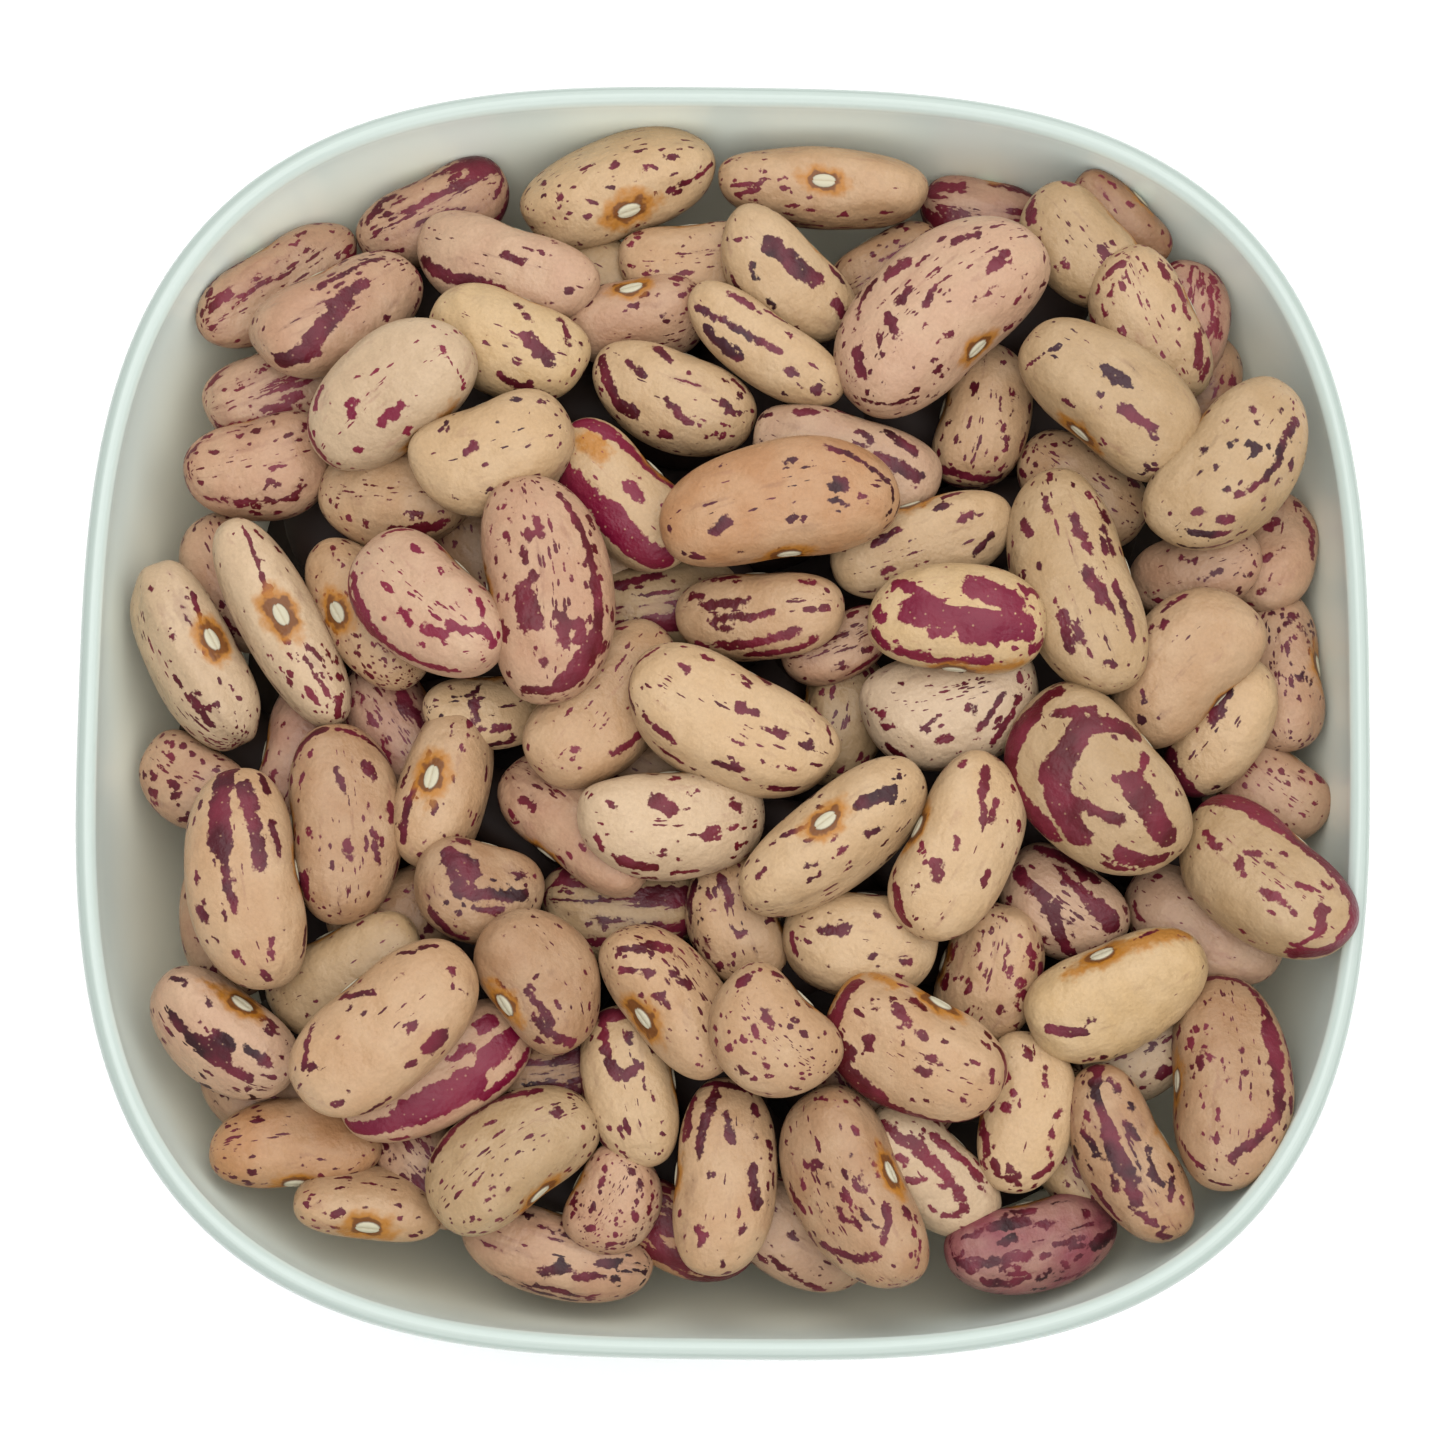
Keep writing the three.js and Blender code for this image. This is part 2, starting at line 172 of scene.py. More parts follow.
def cube_sphere(steps: int) -> tuple[np.ndarray, np.ndarray]:
    """Unit sphere made of a cube's six faces, each a grid pushed out to the sphere.

    Each face's grid takes the tangent of even angles, which keeps the squares alike in size. Points that
    two faces share are merged, so the sphere is closed.

    Args:
        steps: Squares along each edge of the cube.

    Returns:
        Points on the sphere, and four-sided faces that point outwards.
    """
    edge = np.tan(np.linspace(-1, 1, steps + 1) * math.pi / 4)
    u, v = np.meshgrid(edge, edge, indexing="ij")
    one = np.ones_like(u)
    sides = [(one, u, v), (-one, v, u), (v, one, u), (u, -one, v), (u, v, one), (v, u, -one)]
    points = np.concatenate([np.stack(side, -1).reshape(-1, 3) for side in sides])
    cell = np.arange(steps * (steps + 1)).reshape(steps, steps + 1)[:, :-1].ravel()
    quad = np.stack([cell, cell + steps + 1, cell + steps + 2, cell + 1], 1)
    quads = copies(quad, (steps + 1) ** 2, len(sides))
    _, first, back = np.unique(points.round(6), axis=0, return_index=True, return_inverse=True)
    points = points[first] / np.linalg.norm(points[first], axis=1, keepdims=True)
    return points, back.ravel()[quads]


class Coat(Enum):
    """Ground colours of the seed coat."""

    TAN = "#9D7C5B"
    DEEP_TAN = "#8E6C4E"
    ORANGE_TAN = "#996F4B"
    PINK_TAN = "#9A765C"
    PINK = "#976F5B"
    PALE_PINK = "#A07F66"
    CREAM = "#A48764"
    PALE = "#A78E71"
    YELLOW = "#A58962"
    CHALK = "#B0987D"
    SAND = "#957A58"
    BROWN = "#7D573C"
    ROSE = "#6E363C"


class Ink(Enum):
    """Colours of the markings on the seed coat."""

    PLUM = "#3E0813"
    MAROON = "#480710"
    DARK = "#29090F"
    MAGENTA = "#650927"
    GREY_PLUM = "#34151D"
    ROSE = "#5A1822"


@dataclass(frozen=True)
class Bean:
    """One bean that shows.

    Attributes:
        x: Place of its middle across the bowl.
        y: Place of its middle up the bowl.
        length: Longest size.
        width: Size from the hilum side to the back.
        turn: Degrees from +X in plan.
        roll: Degrees that raise the hilum side.
        lean: Degrees that raise the end that turn points to.
        coat: Ground colour.
        ink: Colour of the markings.
        streaks: How much of the coat long ragged streaks take, from 0 to 1.
        flecks: How much of it short flecks take, from 0 to 1.
        dense: The end where the flecks crowd, from -1 to 1.
        grain: Size of the markings, where 1 is usual.
        strokes: Bands that follow the outline, each from one point to another, then its width in
            millimetres. Points are shares of the half length and half width, -1 to 1.
        stains: Orange to brown stains, given as the bands are.
        wrinkle: Height of the coat's creases in millimetres.
    """

    x: float
    y: float
    length: float
    width: float
    turn: float
    roll: float = 0
    lean: float = 0
    coat: Coat = Coat.TAN
    ink: Ink = Ink.PLUM
    streaks: float = 0.2
    flecks: float = 0.4
    dense: float = 0
    grain: float = 1.0
    strokes: tuple[tuple[float, float, float, float, float], ...] = ()
    stains: tuple[tuple[float, float, float, float, float], ...] = ()
    wrinkle: float = 0


C, K = Coat, Ink
DEEPEST_BEANS = (
    Bean(-38.8, 11.2, 12, 7.4, -60, 0, 0, C.PINK_TAN, K.PLUM, 0.3, 0.6),
    Bean(-25.4, -0.8, 12, 7.4, -55, 0, 0, C.PINK, K.PLUM, 0.4, 0.6),
    Bean(-33, -3.2, 12, 7.2, 80, 0, 0, C.PINK, K.MAROON, 0.2, 0.5),
    Bean(-25.2, -15.4, 11.5, 7.2, 20, 0, 0, C.DEEP_TAN, K.PLUM, 0.1, 0.3),
    Bean(-38.5, -15.4, 13, 7.4, -86, 0, 0, C.PINK_TAN, K.PLUM, 0.2, 0.5),
    Bean(-35, -29.8, 12, 7, -30, 0, 0, C.PINK_TAN, K.PLUM, 0.2, 0.4),
    Bean(-22.5, -34.6, 12, 7.2, -50, 0, 0, C.PINK_TAN, K.PLUM, 0.5, 0.9),
    Bean(-12.6, -27.4, 12, 7.2, 10, 0, 0, C.DEEP_TAN, K.DARK, 0.8, 0.5),
    Bean(-2.8, -39.4, 12, 6.8, -22, 0, 0, C.ORANGE_TAN, K.MAROON, 0.9, 0.2),
    Bean(5.8, -39.6, 13, 7, -30, 0, 0, C.PALE_PINK, K.PLUM, 0.24, 0.4,
        strokes=((-.12, -.5, .48, -.6, .5), (-.08, -.02, -.02, -.04, .5))),
    Bean(12.6, -28.4, 12, 7.4, -35, 0, 0, C.PINK_TAN, K.PLUM, 0.4, 0.5),
    Bean(27.6, -32.6, 12, 7.2, -70, 0, 0, C.SAND, K.PLUM, 0.3, 0.6),
    Bean(-7.6, -14.8, 13, 8, 0, 0, 0, C.SAND, K.PLUM, 0.7, 0.7, 0, 1.3),
    Bean(-6, -3.6, 12, 7.2, -20, 0, 0, C.DEEP_TAN, K.PLUM, 0.3, 0.5),
    Bean(-5.4, 9.2, 13, 7.2, 8, 0, 0, C.SAND, K.PLUM, 0.42, 0.3, 0, 1.6,
        strokes=((-.56, .12, .06, .34, .6), (-.42, -.34, .52, -.22, 1.4))),
    Bean(-9.4, 13.6, 9.6, 6.4, 70, 0, 0, C.TAN, K.PLUM, 0.1, 0.3),
    Bean(-19.4, 13.4, 12, 7.2, -70, 0, 0, C.DEEP_TAN, K.PLUM, 0.3, 0.5),
    Bean(9, 0.4, 11, 6.8, 80, 0, 0, C.SAND, K.PLUM, 0.1, 0.7),
    Bean(-8.8, 35.6, 12, 7.6, -20, 0, 0, C.SAND, K.PLUM, 0.1, 0.2),
    Bean(12.6, 37, 10.4, 6.8, 30, 0, 0, C.DEEP_TAN, K.PLUM, 0.3, 0.8),
    Bean(20.3, 42.2, 10, 6.4, -10, 0, 0, C.PINK, K.MAROON, 0.9, 0.3),
    Bean(36.6, 27.2, 11.5, 7.2, 60, 0, 0, C.BROWN, K.PLUM, 0.3, 0.7),
    Bean(32.8, -25.2, 10.8, 7, 30, 0, 0, C.PALE, K.PLUM, 0.06, 0.6,
        strokes=((.08, .04, .1, -.02, .4), (-.12, -.3, -.12, -.3, .4), (.04, -.5, .06, -.46, 1),
        (-.22, .08, -.2, .06, .4))),
)
LOW_BEANS = (
    Bean(-36, 35.2, 15.2, 7, 39, 0, 0, C.PINK_TAN, K.MAROON, 0.45, 0.6, -0.3, 1.1),
    Bean(-23.8, 41.4, 12.8, 7.2, 29, 0, 0, C.PINK_TAN, K.PLUM, 0.6, 0.6, 0.4, 1.2),
    Bean(-35.6, 26.6, 12.6, 7.8, 25, 0, 0, C.PALE_PINK, K.ROSE, 0.6, 0.4, 0, 1.2),
    Bean(-36.9, 19.9, 12, 8.3, 14, 0, 0, C.PINK_TAN, K.MAROON, 0.4, 0.7, -0.3, 1.1),
    Bean(-25.9, 17.1, 12.4, 8, -5, 0, 0, C.TAN, K.MAROON, 0.06, 0.5, -0.2,
        strokes=((-.88, -.04, -.52, -.76, .7), (.1, -.5, .56, -.46, .8))),
    Bean(-41.8, -4.8, 9.2, 6.8, -30, 0, 20, C.PINK_TAN, K.PLUM, 0.1, 0.8),
    Bean(-27.8, 7.6, 14.2, 8.2, 120, 55, 0, C.TAN, K.MAROON, 0.1, 0.7, -0.6, 0.7),
    Bean(-21.7, -6, 13.6, 8.4, 77, 78, 0, C.TAN, K.PLUM, 0.03, 0.4, 0, 0.8,
        strokes=((.18, 1.1, -.28, 1.24, .6), (-.34, 1.22, -.8, .92, .9), (-.8, .46, -.76, .04, .5))),
    Bean(-29, -20.6, 13, 7.6, 27, 0, 0, C.SAND, K.PLUM, 0.1, 0.7, 0.3),
    Bean(-32.7, -33.6, 13.2, 6.8, 183, 10, 0, C.ORANGE_TAN, K.PLUM, 0.05, 0.5, 0.4, 0.8),
    Bean(-27, -38.2, 11.4, 6.2, 176, 45, 0, C.TAN, K.PLUM, 0.05, 0.6, 0.4, 0.9),
    Bean(-12.4, -41.4, 15.2, 6.8, -14, 0, 0, C.PINK_TAN, K.DARK, 0.32, 0.36, -0.3,
        strokes=((-.02, -.34, .06, -.2, .9), (.06, -.14, .1, -.26, .7), (.34, -.02, .42, .02, .7),
        (.4, -.24, .5, -.22, .4), (.18, -.3, .28, -.26, .5), (.7, -.02, .76, -.08, .6),
        (.08, .3, .38, .34, .5), (.02, .44, .14, .44, .4), (-.18, -.76, .28, -.84, .4))),
    Bean(-6.8, -29, 12.8, 7.4, -78, 0, 0, C.CREAM, K.PLUM, 0.07, 0.38, 0.3,
        strokes=((-.56, -.76, .16, -.84, .9), (.24, -.82, .76, -.52, .7), (-.72, -.4, -.62, 0, 1.5),
        (-.56, -.24, -.08, -.16, .7), (-.06, -.04, -.1, .14, .7), (-.36, .4, -.24, .44, .7),
        (-.38, .1, -.32, .1, .5))),
    Bean(-8.2, -37.6, 8.6, 7, 60, 0, 0, C.PINK_TAN, K.PLUM, 0.1, 0.72, 0, 0.6,
        strokes=((.04, .68, .04, .68, .4), (-.1, .58, -.1, .58, .4), (-.26, .54, -.22, .52, .5),
        (.22, .24, .18, .24, .5), (-.08, .2, -.08, .18, .4), (.4, -.28, .4, -.28, .5),
        (.36, -.6, .22, -.56, .4), (.06, -.36, .02, -.42, .6), (.08, -.74, .08, -.74, .4),
        (-.32, .04, -.32, .04, .6), (-.38, -.34, -.28, -.58, .5), (.34, .28, .34, .28, .4),
        (.48, -.1, .48, -.1, .6))),
    Bean(-11.1, -8.8, 15, 7.8, 137, 5, 0, C.PINK_TAN, K.MAROON, 0.3, 0.5, 0.6,
        stains=((.1, .95, -.5, .9, 1),)),
    Bean(1.2, -16.2, 10.4, 7.4, -75, 0, 0, C.TAN, K.DARK, 0.06, 0.7,
        strokes=((.12, .02, .14, .52, 1), (-.46, -.48, -.14, -.68, .8), (-.42, -.1, -.14, 0, .5))),
    Bean(16.2, -35.2, 12.6, 7.2, -42, 0, 0, C.PALE, K.ROSE, 0.02, 0.18,
        strokes=((-.66, -.04, -.38, .04, .6), (-.3, .08, -.12, .1, .9), (-.04, .12, .12, .08, .7),
        (.18, .06, .3, -.04, .6), (.34, -.08, .34, -.22, .5), (-.22, .36, .06, .44, .7),
        (.12, .44, .28, .38, .5), (-.14, -.3, -.06, -.16, .5), (-.3, -.18, -.28, -.16, .6),
        (.08, -.04, .1, -.02, .4), (.28, -.28, .28, -.3, .5))),
    Bean(24.3, -40.3, 14.1, 6.9, 14, 0, 0, C.ROSE, K.DARK, 0.33, 0.42, -0.3, 1.1,
        strokes=((-.52, .22, -.38, .3, .5), (-.3, .32, -.1, .3, .9), (.02, .2, .08, .2, .5),
        (-.3, .06, -.22, .1, .5), (-.76, -.16, -.48, -.2, .5), (-.42, -.2, -.14, -.18, .6),
        (-.64, 0, -.64, 0, .5), (-.26, -.34, -.22, -.34, .4), (-.52, -.52, -.38, -.58, .8),
        (-.32, -.56, -.18, -.52, .5), (-.02, -.5, 0, -.5, .5), (.12, -.44, .12, -.44, .4),
        (.22, -.38, .24, -.36, .4), (.08, -.12, .28, -.14, .4), (.4, -.28, .76, -.12, 1),
        (.38, .22, .36, .18, .6), (-.58, .6, -.12, .74, .4), (-.18, .5, -.02, .5, .5),
        (-.68, -.3, -.58, -.34, .4))),
    Bean(23.4, -30.4, 12.6, 7.5, 84, 0, 0, C.CREAM, K.MAROON, 0.02, 0.3, -0.3,
        strokes=((-.04, .8, -.2, .64, 1), (-.3, .52, -.4, .48, .8), (-.48, .36, -.58, .24, .6),
        (-.62, .16, -.7, -.12, .5), (-.52, .12, -.58, -.08, .4), (-.58, -.34, -.48, -.52, .6),
        (-.02, .3, -.04, .3, .7), (.1, .2, .1, .2, .4), (-.02, .5, -.04, .5, .4), (.22, -.2, .2, -.22, .4),
        (.32, -.2, .32, -.2, .4), (.46, .02, .4, 0, .4), (-.02, -.48, -.04, -.44, .4),
        (-.18, -.4, -.2, -.4, .4), (-.3, -.38, -.3, -.38, .4))),
    Bean(26.6, -14.2, 10.6, 7.8, -35, 0, 0, C.PALE_PINK, K.PLUM, 0.33, 0.45, 0,
        strokes=((-.5, .4, .1, .5, 1), (-.54, -.06, -.16, -.1, 1), (-.04, -.18, .52, -.66, 1.2),
        (.28, .16, .5, .08, 1.4), (-.1, .24, .16, .18, .7), (-.42, -.52, -.08, -.7, .7), (.8, 0, .8, 0, .8))),
    Bean(37.6, -15.7, 13, 7.2, -30, 0, 0, C.PALE_PINK, K.ROSE, 0.2, 0.4, -0.5),
    Bean(43.2, -4.7, 9.4, 7.4, -35, 0, 0, C.PINK_TAN, K.ROSE, 0.1, 0.6, 0, 0.8),
    Bean(43.6, 4.7, 13.6, 7.4, -88, 20, 0, C.PINK_TAN, K.GREY_PLUM, 0.07, 0.68, -0.3, 0.8,
        strokes=((-.36, .08, -.36, .12, .4), (-.36, .36, -.36, .42, .5), (-.28, .34, -.26, .52, .5),
        (-.24, .56, -.16, .64, .4), (.16, .48, .18, .48, .5), (-.44, .72, -.36, .82, .4))),
    Bean(43.3, 14.4, 10.2, 6.6, 72, 0, 0, C.PINK_TAN, K.ROSE, 0.17, 0.3, 0, 1.3,
        strokes=((.1, .24, .16, .14, .7), (-.12, -.06, -.14, -.02, .4), (-.22, .08, -.28, .1, .4),
        (.38, -.32, .18, -.44, .5), (.08, -.48, -.02, -.58, .5), (-.6, -.02, -.66, -.04, .7))),
    Bean(37, 12.2, 10.6, 7, 15, 0, 0, C.PINK_TAN, K.PLUM, 0.03, 0.38, 0.3, 0.8,
        strokes=((-.04, .18, .04, .08, .4), (.22, -.16, .26, -.16, .4), (.08, -.16, .08, -.16, .4),
        (.52, -.36, .6, -.36, .4))),
    Bean(28.2, 19, 11.4, 7.4, -35, 0, 0, C.TAN, K.PLUM, 0.1, 0.7),
    Bean(36, 32.2, 11.2, 7.2, 75, 0, 0, C.PINK, K.ROSE, 0.5, 0.4, 0, 1.2),
    Bean(30.8, 40.6, 9.6, 5.6, -42, 0, 0, C.BROWN, K.MAROON, 0.2, 0.3),
    Bean(8.7, 5.4, 9, 5.4, 22, 0, 0, C.PINK_TAN, K.MAROON, 0.5, 0.7, 0, 0.8),
    Bean(-7.4, 31.8, 11.6, 7.2, 10, 50, 0, C.PINK_TAN, K.PLUM, 0.1, 0.7, 0.4),
    Bean(-3, 36.6, 11.6, 7.4, 5, 0, 0, C.TAN, K.MAROON, 0.1, 0.5),
    Bean(20, 24.8, 12, 7.6, 80, 0, 0, C.TAN, K.PLUM, 0.03, 0.6, -0.4,
        strokes=((-.62, .54, -.68, -.44, .7), (-.9, .24, -.9, -.24, .7))),
    Bean(-18.3, 0, 10.6, 5.8, 8, 0, 0, C.CREAM, K.DARK, 0.07, 0.3, -0.4,
        strokes=((-.02, .66, -.18, .24, .4), (-.2, .16, -.22, -.26, .5), (-.18, -.36, .08, -.36, .4),
        (-.16, -.74, .16, -.7, .5), (-.54, -.14, -.5, -.26, .4))),
    Bean(20.7, -19.8, 11.2, 7.8, 74, 0, 0, C.TAN, K.MAROON, 0.05, 0.6, 0, 1.1),
)
MIDDLE_BEANS = (
    Bean(-30.7, 31.8, 14.8, 8.1, 33, 0, 0, C.PINK_TAN, K.PLUM, 0.17, 0.68,
        strokes=((-.72, -.36, -.42, -.36, 1.5), (-.36, -.26, -.04, 0, 1.2), (.04, .1, .16, .1, .7),
        (-.14, .34, .44, .3, .4), (.74, .06, .7, -.26, .5))),
    Bean(-17.6, 35.7, 15.8, 7.6, -22, 0, 0, C.PALE_PINK, K.PLUM, 0.01, 0.25,
        strokes=((-.56, -.4, .1, -.4, .9), (.04, .04, .18, .04, .5), (.58, -.16, .62, -.18, .5))),
    Bean(-17.2, 28.9, 13, 8.2, -22, 0, 0, C.YELLOW, K.PLUM, 0.02, 0.3, 0.6, wrinkle=0.1,
        strokes=((.16, .08, .36, -.08, 1), (.4, -.14, .48, -.58, .7), (.36, .52, .48, .18, .5),
        (-.04, .48, .08, .32, .5), (.08, -.5, .32, -.54, .6))),
    Bean(-9, 43.1, 16.2, 9.2, 200, 46, 0, C.CREAM, K.PLUM, 0.02, 0.38, 0.5, 0.9,
        strokes=((.42, .08, .44, .4, .9), (.26, .62, .24, .72, .5), (0, .36, 0, .34, .6),
        (.1, .9, 0, 1.02, .7), (-.36, .84, -.84, .36, .4))),
    Bean(7.4, 43.3, 17, 8, 177, 85, 0, C.TAN, K.ROSE, 0.03, 0.4, 0.6, 0.9,
        strokes=((.56, .94, .88, .8, .4), (.58, 1.06, .86, 1.1, .8))),
    Bean(4.4, 35, 13, 7.1, -42, 0, 0, C.CREAM, K.DARK, 0.01, 0.21, 0.3,
        strokes=((-.26, .1, .14, .2, 1.3), (-.6, -.38, -.42, -.02, .4), (-.26, -.3, -.2, -.4, .4),
        (-.38, -.7, -.12, -.8, .4), (.22, .6, .4, .54, .5), (.42, .14, .58, .06, .7),
        (.34, -.5, .4, -.58, .7), (.02, -.44, .06, -.48, .4))),
    Bean(2.8, 28.9, 14.4, 6.1, -36, 0, 0, C.CREAM, K.GREY_PLUM, 0.01, 0.15,
        strokes=((-.58, -.24, .12, 0, .4), (-.38, -.46, -.1, -.5, .9), (-.38, .3, -.18, .34, .5),
        (.28, -.16, .32, -.16, .5), (.54, -.14, .56, -.18, .7), (-.08, .52, .04, .58, .4))),
    Bean(-4.4, 25.1, 13.6, 7.7, -23, 0, 0, C.CREAM, K.PLUM, 0.03, 0.48,
        strokes=((-.7, .04, -.4, -.42, .9), (-.34, -.5, -.22, -.5, 1.2), (-.22, .5, -.14, .4, .8),
        (-.38, .1, -.22, .02, .5), (.02, -.14, .22, -.3, .5), (.42, .48, .54, .42, .4),
        (.42, .1, .46, .04, .7), (.58, .02, .78, .22, .5))),
    Bean(9.2, 19.9, 15, 8.2, -15, 0, 0, C.PALE_PINK, K.DARK, 0.1, 0.38, 0.3, 1.2,
        strokes=((-.42, .36, -.28, .44, .6), (-.14, .7, -.02, .74, .4), (.04, .38, .14, .28, .5),
        (.24, .48, .46, .28, .8), (.2, .1, .56, -.04, .9))),
    Bean(-8.1, 16.7, 13.8, 7.8, -46, 0, 0, C.CREAM, K.MAGENTA, 0.02, 0.15,
        strokes=((-.7, .2, -.36, .46, 1.2), (-.24, .52, .28, .72, 1.3), (-.6, -.4, -.16, -.4, 2),
        (.06, -.34, .64, -.3, 2.1), (.02, .14, .1, .12, 1), (.3, .24, .48, .2, .5)),
        stains=((-.45, .1, -.35, .15, 2),)),
    Bean(27.8, 38, 11.2, 7.8, -48, 0, 0, C.SAND, K.PLUM, 0.03, 0.3,
        strokes=((-.64, -.24, -.5, -.32, 1), (-.58, .38, -.52, .42, .7), (.18, .1, .24, .1, .6),
        (-.28, -.42, -.12, -.54, .5)),
        stains=((.05, .9, .4, .75, 1.5),)),
    Bean(33.3, 31.5, 13.4, 8.1, -62, 0, 0, C.CREAM, K.ROSE, 0.1, 0.45, -0.3,
        strokes=((-.62, .02, -.56, -.36, .5), (-.44, -.14, -.4, -.42, .5), (-.42, .42, -.34, .44, .7),
        (-.2, .56, -.1, .58, .8), (.24, .46, .42, .28, .9), (.48, .46, .58, .24, .7))),
    Bean(-41.6, 4.4, 16, 8.3, -61, 58, 0, C.PALE, K.PLUM, 0.12, 0.6, 0.5,
        strokes=((.28, .28, .48, .22, .6), (-.48, .94, -.02, .9, .4))),
    Bean(-34.5, 6.8, 18.4, 7.8, -60, 88, 0, C.PALE, K.MAROON, 0.02, 0.38, 0.7, 0.8,
        strokes=((.32, 1.06, .48, 1.14, .6), (.38, 1.36, .52, 1.36, .6), (.86, .84, .96, .36, 1),
        (.52, .6, .68, .5, .5), (.42, .9, .78, .7, .4), (-.88, .8, -.16, .92, .4))),
    Bean(-29.3, -9, 15.6, 9, 95, 6, 0, C.DEEP_TAN, K.PLUM, 0.02, 0.3, 0, 0.8,
        strokes=((.52, .6, .7, .16, 1), (.68, -.04, .46, -.72, .7), (.28, .08, .18, .02, .5),
        (.32, -.28, .28, -.32, .8), (.06, -.52, -.02, -.54, .7), (-.18, .02, -.24, 0, .6),
        (-.12, -.28, -.3, -.32, .4), (-.08, .44, -.1, .42, .5), (-.42, .58, -.48, .52, .7),
        (-.38, -.7, -.48, -.66, .5)),
        stains=((.3, .95, -.2, .98, .8),)),
    Bean(-18.8, -14.4, 10, 8, -12, 0, 0, C.DEEP_TAN, K.DARK, 0.21, 0.36,
        strokes=((-.26, -.1, .4, .04, .8), (-.06, -.24, .16, -.2, .5), (-.4, .3, -.24, .2, 1.8),
        (-.36, .06, -.24, -.02, .8), (-.52, -.48, -.08, -.72, .7), (.14, -.48, .22, -.42, .6),
        (.28, .3, .36, .3, .5), (-.36, .6, -.3, .6, .8))),
    Bean(-38.3, -25.4, 13, 8.1, -37, 42, 0, C.PALE_PINK, K.DARK, 0.07, 0.36, 0.5,
        strokes=((-.36, .12, -.14, .1, .7), (-.02, .12, .12, .14, 1.7), (.24, .1, .4, .06, .8),
        (.06, .32, .08, .34, 1.4), (.28, .4, .46, .36, .7), (.14, .96, .46, .96, .7),
        (.46, -.14, .5, -.26, .6), (-.68, .36, -.52, .54, .4)),
        stains=((-.25, .85, -.45, .8, 1),)),
    Bean(-21.8, -28.4, 16, 7.8, 31, 0, 0, C.PINK_TAN, K.MAGENTA, 0.03, 0.08,
        strokes=((-.8, -.08, -.4, -.32, 1.2), (-.24, -.3, .14, -.34, 2.3), (.32, -.18, .68, -.02, 1.5),
        (.4, .18, .44, .16, 1.2), (.14, .04, .24, .06, .7), (.22, -.58, .68, -.42, .6),
        (-.52, -.6, -.42, -.64, .6))),
    Bean(-13.7, -21.4, 11.6, 8.6, 120, 30, 0, C.DEEP_TAN, K.PLUM, 0.03, 0.38,
        strokes=((-.22, .62, -.6, .18, .7), (.12, .38, .14, .22, .4), (.32, .84, .02, .8, .4),
        (.02, .58, -.32, .42, .6))),
    Bean(-15.8, -34.6, 14.4, 8.7, 217, 12, 0, C.SAND, K.PLUM, 0.01, 0.4, -0.3, 0.8,
        strokes=((-.42, -.38, -.12, -.58, .7), (-.06, -.6, .46, -.46, .7), (-.44, -.02, -.4, .02, .6))),
    Bean(-3.8, -22.7, 13.8, 8, 128, 36, 0, C.TAN, K.PLUM, 0.03, 0.45, 0.5, 0.8,
        strokes=((.48, .4, .44, .2, 1.4), (.38, .08, .28, -.02, .8), (.42, .62, .22, .38, .7),
        (.12, .18, -.02, .12, .5), (.14, .7, .06, .5, .7), (.04, .46, -.04, .5, .4))),
    Bean(0.4, -36, 15.1, 7.8, 86, 0, 0, C.TAN, K.PLUM, 0.12, 0.3, 0.2,
        strokes=((.74, .4, .68, -.24, .8), (.58, .52, .26, .6, .8), (.58, .16, .14, .4, .7),
        (.38, 0, .24, -.02, .6), (.5, -.4, .48, -.4, .8), (.26, -.62, .18, -.64, .5),
        (.04, -.34, -.02, -.36, .7), (-.1, -.4, -.16, -.42, .9), (0, .2, -.02, .2, .4),
        (-.32, -.3, -.36, -.28, .4), (-.28, .6, -.32, .6, .4), (-.02, .84, -.18, .84, .4),
        (-.38, .22, -.48, .2, .5), (-.38, .28, -.4, .12, .4), (-.62, -.12, -.68, -.18, .5))),
    Bean(10.4, -37, 16.7, 9.1, -65, 36, 0, C.DEEP_TAN, K.PLUM, 0.03, 0.42, 0.6, 0.9,
        strokes=((-.24, 0, -.2, .1, .4), (-.24, -.08, -.2, -.02, .4), (-.08, .12, -.08, .12, .4),
        (-.02, .48, .02, .48, .5), (-.02, .72, -.02, .72, .4), (-.16, -.2, -.14, -.2, .4),
        (-.14, -.44, 0, -.36, .5), (.08, .08, .12, .06, .5), (.02, -.12, .02, -.12, .4),
        (.12, -.2, .14, -.18, .4), (.2, .14, .26, .38, .5), (.28, .44, .28, .56, .6),
        (.28, .58, .38, .32, .4), (.24, -.36, .38, -.08, .8), (.4, -.02, .44, .18, .5),
        (.26, -.74, .44, -.62, .5), (.32, .84, .4, .84, .7), (.64, .74, .68, .66, .4),
        (.5, .78, .54, .72, .4), (.72, .58, .8, .42, .4), (.56, -.34, .6, -.32, .4),
        (.76, -.08, .8, -.02, .4), (-.64, .22, -.6, .32, .4), (-.68, .7, -.62, .74, .4)),
        stains=((-.15, .9, .25, .9, 1.1),)),
    Bean(-3.9, -9, 14.8, 8.5, 5, 6, 0, C.PALE, K.MAROON, 0.02, 0.36,
        strokes=((-.16, .24, -.1, .16, 1.2), (.16, -.16, .18, -.14, .9), (.36, .12, .38, .1, .7),
        (-.5, .18, -.46, .16, .4), (-.66, -.28, -.62, -.42, .6), (-.46, -.52, -.24, -.58, 1),
        (-.04, -.68, .14, -.68, .4), (.34, -.12, .36, -.12, .5))),
    Bean(-9.3, 0.2, 15.8, 8.5, 54, 0, 0, C.TAN, K.ROSE, 0.06, 0.5,
        strokes=((-.32, -.5, -.12, -.6, .5), (-.48, -.14, -.46, -.16, .6), (.64, -.08, .74, -.18, .5))),
    Bean(17.5, 0.8, 14, 9.3, 14, 0, 0, C.CHALK, K.PLUM, 0.01, 0.42, 0.3, 0.8,
        strokes=((.1, -.14, .12, -.16, .6), (.34, -.12, .14, -.38, .5), (.48, -.22, .22, -.58, .5),
